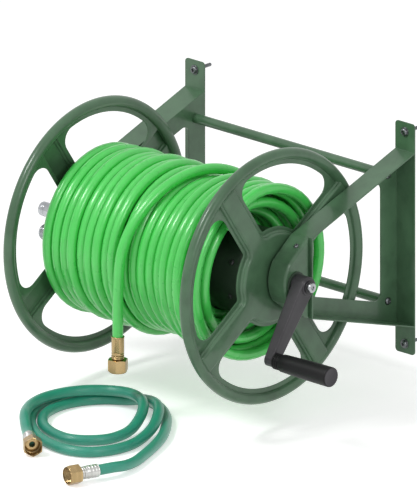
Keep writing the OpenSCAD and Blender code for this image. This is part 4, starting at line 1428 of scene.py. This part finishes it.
@dataclass
class Crank(Builder):
    """The crank: a tapered channel arm with its boss, a washer and a socket head bolt.

    The heights of the arm's back and front are given at the boss and at the grip, and the washer and
    the bolt's head by their two ends and their radius.
    """

    reach: float = 130.0
    turn: float = 55.0
    boss: float = 16.0
    end: float = 11.0
    back: Pair = (251.5, 256.5)
    front: Pair = (274.0, 272.0)
    wall: float = 3.0
    rim: float = 2.6
    boss_back: float = 248.4
    boss_face: float = 275.5
    axle: float = 8.1
    pin: float = 5.1
    holes: Pair = (240.0, 290.0)
    washer: Point = (275.6, 277.5, 11.0)
    washer_bore: float = 4.1
    bolt_head: Point = (277.6, 283.6, 8.0)
    bolt_end: float = 253.5
    bolt_shank: float = 4.0
    socket: float = 3.6
    socket_depth: float = 3.5

    def away(self) -> Vector:
        """Returns the grip's middle in the wheel's plane, in millimetres."""
        angle = math.radians(180 + self.turn)
        return self.reach * Vector((math.cos(angle), math.sin(angle), 0))

    def outline(self) -> list[Pair]:
        """Draws the arm's outline.

        Returns:
            Its points: a round about the boss, drawn out to a smaller one about the grip.
        """
        aim, half = math.radians(180 + self.turn), math.acos((self.boss - self.end) / self.reach)
        far = self.away()
        points = on_circle(self.boss, np.linspace(aim + half, aim + 2 * math.pi - half, 33))
        return points + on_circle(self.end, np.linspace(aim - half, aim + half, 25), (far.x, far.y))

    def level(self, point: Vector, ends: Pair) -> float:
        """Returns the height, in metres, of a face that slopes from the boss to the grip."""
        share = point.xy.dot(self.away().xy) / (self.reach**2 * MM)
        return (ends[0] + (ends[1] - ends[0]) * max(0.0, min(1.0, share))) * MM

    def channel(self) -> Piece:
        """Makes the arm's channel, which slopes on both sides and is hollow at the back.

        Returns:
            The channel, about the reel's axis as Z.
        """
        arm = plate("crank_arm_channel", self.outline(), 0.0, 1.0)
        for vertex in arm.data.vertices:
            vertex.co.z = self.level(vertex.co, self.front if vertex.co.z > 0 else self.back)
        between = (max(self.back) + min(self.front)) / 2 * MM
        with editing(arm) as mesh:
            for vertex in mesh.verts:
                vertex.select_set(vertex.co.z > between)
            mesh.select_flush(True)
            bpy.ops.mesh.bevel(offset=self.rim * MM, segments=5, affect="EDGES")
        with editing(arm) as mesh:
            bpy.ops.mesh.select_mode(type="FACE")
            for face in mesh.faces:
                face.select_set(face.normal.z < -0.9)
            bpy.ops.mesh.inset(thickness=self.wall * MM)
            bpy.ops.mesh.extrude_region_move()
            for vertex in [v for v in mesh.verts if v.select]:
                vertex.co.z = self.level(vertex.co, self.front) - self.wall * MM
            bmesh.update_edit_mesh(arm.data)
        close_seams(arm)
        return arm

    def arm(self) -> Piece:
        """Makes the arm with its boss and its two holes.

        Returns:
            The arm.
        """
        arm = self.channel()
        b0, b1, r = self.boss_back, self.boss_face, self.boss
        boss = [
            (b0, 0), (b0, r - 1.0), (b0 + 1.0, r - 0.02), (b1 - 7, r - 0.02), (b1 - 7, r - 1.2), (b1 - 0.7, r - 1.2),
            (b1, r - 1.9), (b1, 0),
        ]
        to_grip = Matrix.Translation(self.away() * MM)
        pin_boss = tube_profile(self.back[1], self.front[1] - 1, self.pin + 3)
        for profile, place in ((boss, HERE), (pin_boss, to_grip)):
            cut_out(arm, lathe("boss", profile, place), "UNION")
        for radius, place in ((self.axle, HERE), (self.pin, to_grip)):
            cut_out(arm, lathe("hole", tube_profile(*self.holes, radius), place, 48))
        settle(arm, ON_AXIS)
        smooth(arm, 28)
        return arm

    def bolt(self) -> Piece:
        """Makes the socket head bolt.

        Returns:
            The bolt.
        """
        (z0, z1, r), end, shank, key = self.bolt_head, self.bolt_end, self.bolt_shank, self.socket
        profile = [
            (end, 0), (end, shank - 0.8), (end + 0.8, shank), (z0, shank), (z0, r - 0.4), (z0 + 0.4, r),
            (z1 - 1.4, r), (z1 - 0.7, r - 0.3), (z1 - 0.2, r - 1.0), (z1, r - 1.8), (z1, key + 0.9),
            (z1 - 0.3, key + 0.5), (z1 - 0.3, 0),
        ]
        bolt = lathe("socket_head_bolt", profile)
        cut_out(bolt, plate("socket", on_circle(key, full_turn(6)), z1 - self.socket_depth, z1 + 1))
        settle(bolt, ON_AXIS)
        smooth(bolt, 28)
        return bolt

    def build(self) -> None:
        """Makes the arm, the washer and the bolt."""
        self.keep(self.arm(), Body.REEL, Slot.CRANK, "crank_arm")
        washer = turned_part("crank_bolt_washer", tube_profile(*self.washer, self.washer_bore), ON_AXIS, 0.35)
        self.keep(washer, Body.REEL, Slot.BLACK_SCREW, "crank_washer")
        self.keep(self.bolt(), Body.REEL, Slot.STEEL, "crank_bolt")


@dataclass
class HandGrip(Builder):
    """The grip that turns on the crank's pin: a ribbed collar, a long taper and a flat cap."""

    start: float = 272.4
    length: float = 120.0
    bore: float = 5.1
    collar: float = 13.2
    collar_length: float = 15.0
    groove: float = 1.2
    ribs: int = 3
    neck: float = 14.5
    tip: float = 16.5
    cap: float = 15.5
    cap_thickness: float = 0.5
    sides: int = 96

    def build(self) -> None:
        """Makes the grip and its cap."""
        place = ON_AXIS @ Matrix.Translation(Crank(self.palette).away() * MM)
        z, end, cap = self.start, self.start + self.length, self.cap
        low = self.collar - self.groove
        rib = self.collar_length / (2 * self.ribs + 1)
        profile = [(z, self.bore), (z, low)]
        for k in range(self.ribs):
            z0 = z + rib * (2 * k + 0.5)
            profile += [(z0, low), (z0, self.collar), (z0 + rib, self.collar), (z0 + rib, low)]
        body, neck, tip = z + self.collar_length, self.neck, self.tip
        profile += [
            (body, low), (body, neck - 1.3), (body + 0.5, neck - 0.5), (body + 1.6, neck), (body + 20, neck + 0.6),
            (body + 45, neck + 1.3), (body + 70, neck + 1.75), (end - 4, tip), (end - 1.8, tip), (end - 0.6, tip - 0.3),
            (end, tip - 0.75), (end, cap + 0.1), (end - 0.8, cap + 0.1), (end - 0.8, 10.4), (end - 3, 10.4),
            (end - 3, 8.4), (end - 7, 8.4), (end - 7, self.bore),
        ]
        self.keep(turned_part("turning_grip", profile, place, 0.3, self.sides), Body.GRIP, Slot.GRIP, "grip")
        face = end + self.cap_thickness
        disc = [
            (end - 2.9, 0), (end - 2.9, 10.3), (end - 0.7, 10.3), (end - 0.7, cap), (face - 0.4, cap),
            (face, cap - 0.5), (face, cap - 1.6), (face - 0.25, cap - 2.1), (face - 0.25, 0),
        ]
        end_disc = turned_part("grip_end_disc", disc, place, 0.15, self.sides)
        self.keep(end_disc, Body.GRIP, Slot.GRIP_CAP, "grip_end_cap")


@dataclass
class Swivel(Builder):
    """The water swivel: a barrel on the axle's end, a threaded port below it and a plug."""

    barrel: float = 11.8
    barrel_from: float = 251.3
    barrel_to: float = 299.3
    end: float = 307.3
    port: float = 268.3
    drop: float = 38.0
    neck: float = 9.44
    port_end: float = 304.3
    thread: float = 13.2
    thread_length: float = 16.0
    pitch: float = 1.8
    bore: float = 8.0
    axle: float = 8.1

    def port_profile(self) -> list[Pair]:
        """Draws the port.

        Returns:
            The profile of its round barrel, its collar and its thread.
        """
        p0, p1, r, t = self.port - self.neck, self.port_end, self.barrel, self.thread
        z = p1 - self.thread_length
        port = [
            (p0, 0), (p0, r - 2), (p0 + 2, r), (z - 4, r), (z - 4, t + 1.4), (z - 3.4, t + 2), (z - 0.6, t + 2),
            (z, t + 1.4), (z, t - 1),
        ]
        z += 0.8
        while z + self.pitch < p1 - 1.0:
            port += [(z + 0.3, t - 1), (z + 0.8, t), (z + 1.1, t), (z + 1.6, t - 1)]
            z += self.pitch
        return port + [(p1 - 1.2, t - 1), (p1, t - 1.6), (p1, 0)]

    def body(self) -> Piece:
        """Makes the body: the barrel with its port, and the holes for the axle and the water.

        Returns:
            The body, along Z from the left bracket outwards.
        """
        z0, z1, r = self.barrel_from, self.barrel_to, self.barrel
        barrel = [
            (z0, 0), (z0, r - 0.8), (z0 + 0.8, r), (z0 + 3, r), (z0 + 3.5, r - 0.5), (z0 + 4.5, r - 0.5), (z0 + 5, r),
            (z1 - 5, r), (z1 - 4.5, r - 0.5), (z1 - 3.5, r - 0.5), (z1 - 3, r), (z1, r), (z1, 0),
        ]
        neck = tube_profile(0, self.drop, self.neck)
        down = Matrix.Translation((0, -self.drop * MM, 0))
        up = Matrix.Translation((0, -self.drop * MM, self.port * MM)) @ Matrix.Rotation(-math.pi / 2, 4, "X")
        body = lathe("swivel_barrel_and_port", barrel)
        for profile, place in ((self.port_profile(), down), (neck, up)):
            cut_out(body, lathe("branch", profile, place), "UNION")
        axle_hole = tube_profile(z0 - 1, z1 + 1, self.axle)
        water_hole = tube_profile(self.port, self.port_end + 1, self.bore)
        for profile, place in ((axle_hole, HERE), (water_hole, down)):
            cut_out(body, lathe("hole", profile, place))
        return body

    def plug(self) -> Piece:
        """Makes the plug in the barrel's end.

        Returns:
            The plug, along Z from the left bracket outwards.
        """
        z, end, hole, r = self.barrel_to, self.end, self.axle - 0.2, self.barrel
        profile = [
            (z - 2, 0), (z - 2, hole), (z + 0.1, hole), (z + 0.1, r), (end - 2, r), (end - 0.8, r - 1.2),
            (end, r - 2.8), (end, 4.4), (end - 1.2, 4.0), (end - 1.2, 0),
        ]
        return turned_part("swivel_end_plug", profile, HERE, 0.3)

    def build(self) -> None:
        """Makes the body and its plug, and turns them to the left bracket's side."""
        out = Matrix.Translation(AXIS) @ MIRROR_X @ ALONG_X
        for piece, angle, node in ((self.body(), 28, "swivel_body"), (self.plug(), 30, "swivel_plug")):
            settle(piece, out)
            close_seams(piece)
            smooth(piece, angle)
            self.keep(piece, Body.SWIVEL, Slot.CHROME, node)


@dataclass
class Fasteners(Builder):
    """The screws of the wall tabs, the cross tubes and the bearing housings.

    A head or shank is given by its radius and length. A seat is a screw's place on the right, above
    the middle, from the middle of the wall screws or, for a housing, from that of the reel's axis.
    """

    tube_head: Pair = (6.2, 3.4)
    tube_shank: Pair = (3.0, 14.0)
    tube_seat: Point = (210.1, -22.0, 106.0)
    wall_head: Pair = (6.5, 5.0)
    wall_shank: Pair = (3.0, 37.0)
    wall_washer: float = 8.0
    wall_seat: Point = (229.0, -2.1, 178.0)
    housing_head: Pair = (4.25, 2.4)
    housing_shank: Pair = (2.2, 6.0)
    housing_seat: Point = (233.0, 15.0, 34 + 28 * 32 / 41)
    housing_slope: float = math.atan(32 / 41)
    dome_steps: int = 8
    dome_flat: float = 0.35
    dome_round: float = 0.8
    recess_reach: float = 0.6
    recess_width: float = 0.17
    recess_depth: float = 0.55
    recess_taper: float = 0.55

    def dome(self, base: float, radius: float, height: float) -> list[Pair]:
        """Draws a domed head above its straight edge.

        Args:
            base: The height of the edge.
            radius: The head's radius.
            height: The head's height.

        Returns:
            The profile, up to the axis.
        """
        profile = []
        for k in range(1, self.dome_steps):
            turn = math.radians(90 * k / self.dome_steps)
            share = self.dome_flat + (1 - self.dome_flat) * math.cos(turn) ** self.dome_round
            profile.append((base + (height - base) * math.sin(turn), radius * share))
        return profile + [(height, 0)]

    def recess(self, radius: float, height: float) -> Piece:
        """Makes the form of a cross recess.

        Args:
            radius: The head's radius.
            height: The head's height.

        Returns:
            The form, which narrows towards its bottom.
        """
        arm, width = radius * self.recess_reach, radius * self.recess_width
        cross = [
            (arm, -width), (arm, width), (width, width), (width, arm), (-width, arm), (-width, width),
            (-arm, width), (-arm, -width), (-width, -width), (-width, -arm), (width, -arm), (width, -width),
        ]
        form = plate("recess", cross, height * (1 - self.recess_depth), height + 1)
        for vertex in form.data.vertices:
            if vertex.co.z < height * MM:
                vertex.co.xy *= self.recess_taper
        return form

    def screw(self, name: str, head: Pair, shank: Pair, washer: float = 0.0) -> Piece:
        """Makes a screw along Z with a domed head and a cross recess.

        Args:
            name: The piece's name.
            head: The head's radius and height.
            shank: The shank's radius and length.
            washer: The radius of the washer under the head, or 0.

        Returns:
            The screw, with its head's underside at height 0.
        """
        radius, height = head
        tip, base = -shank[1], 0.1
        profile = [(tip, 0), (tip, shank[0] - 0.6), (tip + 1.2, shank[0]), (base, shank[0])]
        if washer:
            profile += [(base, washer - 0.3), (0.4, washer), (1.0, washer), (1.3, washer - 0.3), (1.3, radius)]
            base = 1.3
        profile += [(base, radius - 0.25), (base + 0.3, radius)]
        screw = lathe(name, profile + self.dome(base + 0.3, radius, height), HERE, 48)
        cut_out(screw, self.recess(radius, height))
        smooth(screw, 32)
        return screw

    def set_out(self, name: str, screw: Piece, places: Sequence[Matrix], node: str) -> None:
        """Copies a screw to its places and keeps the whole as one piece.

        Args:
            name: The name of the whole.
            screw: The screw.
            places: Where the copies go.
            node: The node that they stand for.
        """
        copies = []
        for place in places:
            copy = screw.copy()
            copy.data = screw.data.copy()
            bpy.context.scene.collection.objects.link(copy)
            settle(copy, place)
            copies.append(copy)
        bpy.data.objects.remove(screw)
        self.keep(join(copies, name), Body.FRAME, Slot.DARK_SCREW, node)

    def build(self) -> None:
        """Makes all the screws, each kind turned a little differently at its four places."""
        corners = [(side, s) for side in Side for s in (1, -1)]
        x, y, z = self.tube_seat
        screw = self.screw("tube_screw", self.tube_head, self.tube_shank)
        places = [along(Vector((side, 0, 0)), Vector((side * x, y, s * z)) * MM, 20 + 31 * s) for side, s in corners]
        self.set_out("cross_tube_screws_domed", screw, places, "cross_tube_screws")
        x, y, z = self.wall_seat
        screw = self.screw("wall_screw", self.wall_head, self.wall_shank, self.wall_washer)
        out = Vector((0, -1, 0))
        places = [along(out, Vector((side * x, y, s * z)) * MM, 12 + 25 * side * s) for side, s in corners]
        self.set_out("wall_screws_domed", screw, places, "wall_screws")
        x, y, z = self.housing_seat
        screw = self.screw("housing_screw", self.housing_head, self.housing_shank)
        sine, cosine = math.sin(self.housing_slope), math.cos(self.housing_slope)
        places = [
            along(Vector((0, -sine, s * cosine)), on_reel(side * x, y, s * z), 40 * side + 15 * s)
            for side, s in corners
        ]
        self.set_out("housing_screws_domed", screw, places, "housing_screws")


@dataclass
class CadPieces:
    """The pieces that keep the shape of their CAD node and only get a finish."""

    palette: Palette

    def dress(self, frame: dict) -> None:
        """Gives every CAD node the finish of its slot.
        """
        slots = {s["node"]: s["material_slot"] for s in frame["record"]["subparts"]}
        for name, node in frame["nodes"].items():
            self.palette.dress(node, Slot(slots[name]))
            log.info("%s keeps its CAD shape in %s", name, slots[name])


@dataclass
class Studio:
    """The camera, the pale floor and the soft light, with their sizes in metres."""

    azimuth: float = 43.0
    elevation: float = 18.5
    frame_height: float = 0.797
    wheel_middle: float = 0.192
    right_shift: float = -0.0998
    up_shift: float = 0.0414
    distance: float = 3.0
    far_clip: float = 20.0
    floor_size: float = 14.0
    floor_gap: float = 0.0003
    floor_glow: float = 0.42
    soft_light: float = 0.52
    lamps: Sequence[tuple[str, Point, float, float]] = (
        ("key_light", (-0.7, -1.9, 2.2), 0.7, 38.0),
        ("side_light", (2.3, -1.2, 1.2), 0.9, 16.0),
    )

    def camera(self) -> None:
        """Sets the camera at the photograph's viewing angle."""
        a, e = math.radians(self.azimuth), math.radians(self.elevation)
        right = Vector((math.cos(a), math.sin(a), 0))
        ahead = Vector((-math.sin(a) * math.cos(e), math.cos(a) * math.cos(e), -math.sin(e)))
        up = right.cross(ahead)
        wheel = AXIS + Vector((self.wheel_middle, 0, 0))
        aim = wheel + right * self.right_shift + up * self.up_shift
        data = bpy.data.cameras.new("camera")
        data.type = "ORTHO"
        data.sensor_fit = "VERTICAL"
        data.ortho_scale = self.frame_height
        data.clip_end = self.far_clip
        camera = bpy.data.objects.new("camera", data)
        bpy.context.scene.collection.objects.link(camera)
        turned = Matrix((right, up, -ahead)).transposed().to_4x4()
        camera.matrix_world = Matrix.Translation(aim - ahead * self.distance) @ turned
        bpy.context.scene.camera = camera

    def floor(self) -> None:
        """Makes the pale floor, which glows only for the rays that show it."""
        bpy.ops.mesh.primitive_plane_add(size=self.floor_size, location=(0, 0, GROUND - self.floor_gap))
        floor = bpy.context.object
        floor.name = "pale_floor"
        shader = Shader("pale_floor")
        tone = shader.step(shader.noise(1.5, 2), 0.3, 0.7)
        shader.finish({
            "Base Color": shader.blend(tone, srgb("F4F4F4"), srgb("F8F8F8")),
            "Roughness": 0.9,
            "Emission Color": shader.blend(shader.shown(), (0.0, 0.0, 0.0), (self.floor_glow,) * 3),
            "Emission Strength": 1.0,
        })
        floor.data.materials.append(shader.material)

    def world(self) -> None:
        """Sets the world: plain soft light on the object, and white behind it."""
        world = bpy.data.worlds.new("studio")
        bpy.context.scene.world = world
        world.use_nodes = True
        nodes = Nodes(world.node_tree)
        ends = {"Value": nodes.shown(), "To Min": self.soft_light, "To Max": 1.0}
        strength = nodes.node("ShaderNodeMapRange", inputs=ends).outputs["Result"]
        light = nodes.node("ShaderNodeBackground", inputs={"Color": (1.0, 1.0, 1.0), "Strength": strength})
        nodes.node("ShaderNodeOutputWorld", inputs={"Surface": light.outputs[0]})

    def lamp(self, name: str, place: Point, size: float, power: float) -> None:
        """Adds a soft lamp that faces the reel.

        Args:
            name: Its name.
            place: Where it hangs.
            size: The length of its sides.
            power: Its power in watts.
        """
        data = bpy.data.lights.new(name, "AREA")
        data.shape = "SQUARE"
        data.size = size
        data.energy = power
        lamp = bpy.data.objects.new(name, data)
        bpy.context.scene.collection.objects.link(lamp)
        turned = (Vector(place) - AXIS).to_track_quat("Z", "Y").to_matrix().to_4x4()
        lamp.matrix_world = Matrix.Translation(place) @ turned

    def build(self) -> None:
        """Makes the whole studio."""
        self.camera()
        self.floor()
        self.world()
        for lamp in self.lamps:
            self.lamp(*lamp)
        bpy.context.scene.view_settings.view_transform = "Standard"


def main() -> None:
    """Builds the hose reel in order, from the camera and hoses to the last screw."""
    logging.basicConfig(level=logging.INFO, format="%(message)s")
    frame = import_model()
    palette = Palette()
    Studio().build()
    CadPieces(palette).dress(frame)
    hose, loose, fitting = WoundHose(palette), LooseHose(palette), Fitting(palette)
    brass, steel = Slot.BRASS, Slot.FERRULE
    down = Matrix.Translation(hose.tail_route()[-1]) @ Matrix.Rotation(math.pi, 4, "X")
    hose.tail(fitting.build("tail", Body.TAIL_NUT, down, fitting.tail_ferrule, (brass, brass, brass)))
    ribbed = fitting.loose_ferrule
    first = fitting.build("loose_a", Body.LOOSE_NUT_A, loose.end(0, 1), ribbed, (steel, brass, brass))
    last = fitting.build("loose_b", Body.LOOSE_NUT_B, loose.end(-1, -2), ribbed, (steel, steel, brass))
    loose.build(first + last)
    hose.outer_layer()
    hose.inner_layers()
    for side in Side:
        PressedWheel(palette, side).build()
    Crank(palette).build()
    HandGrip(palette).build()
    Swivel(palette).build()
    Fasteners(palette).build()


if __name__ == "__main__":
    main()
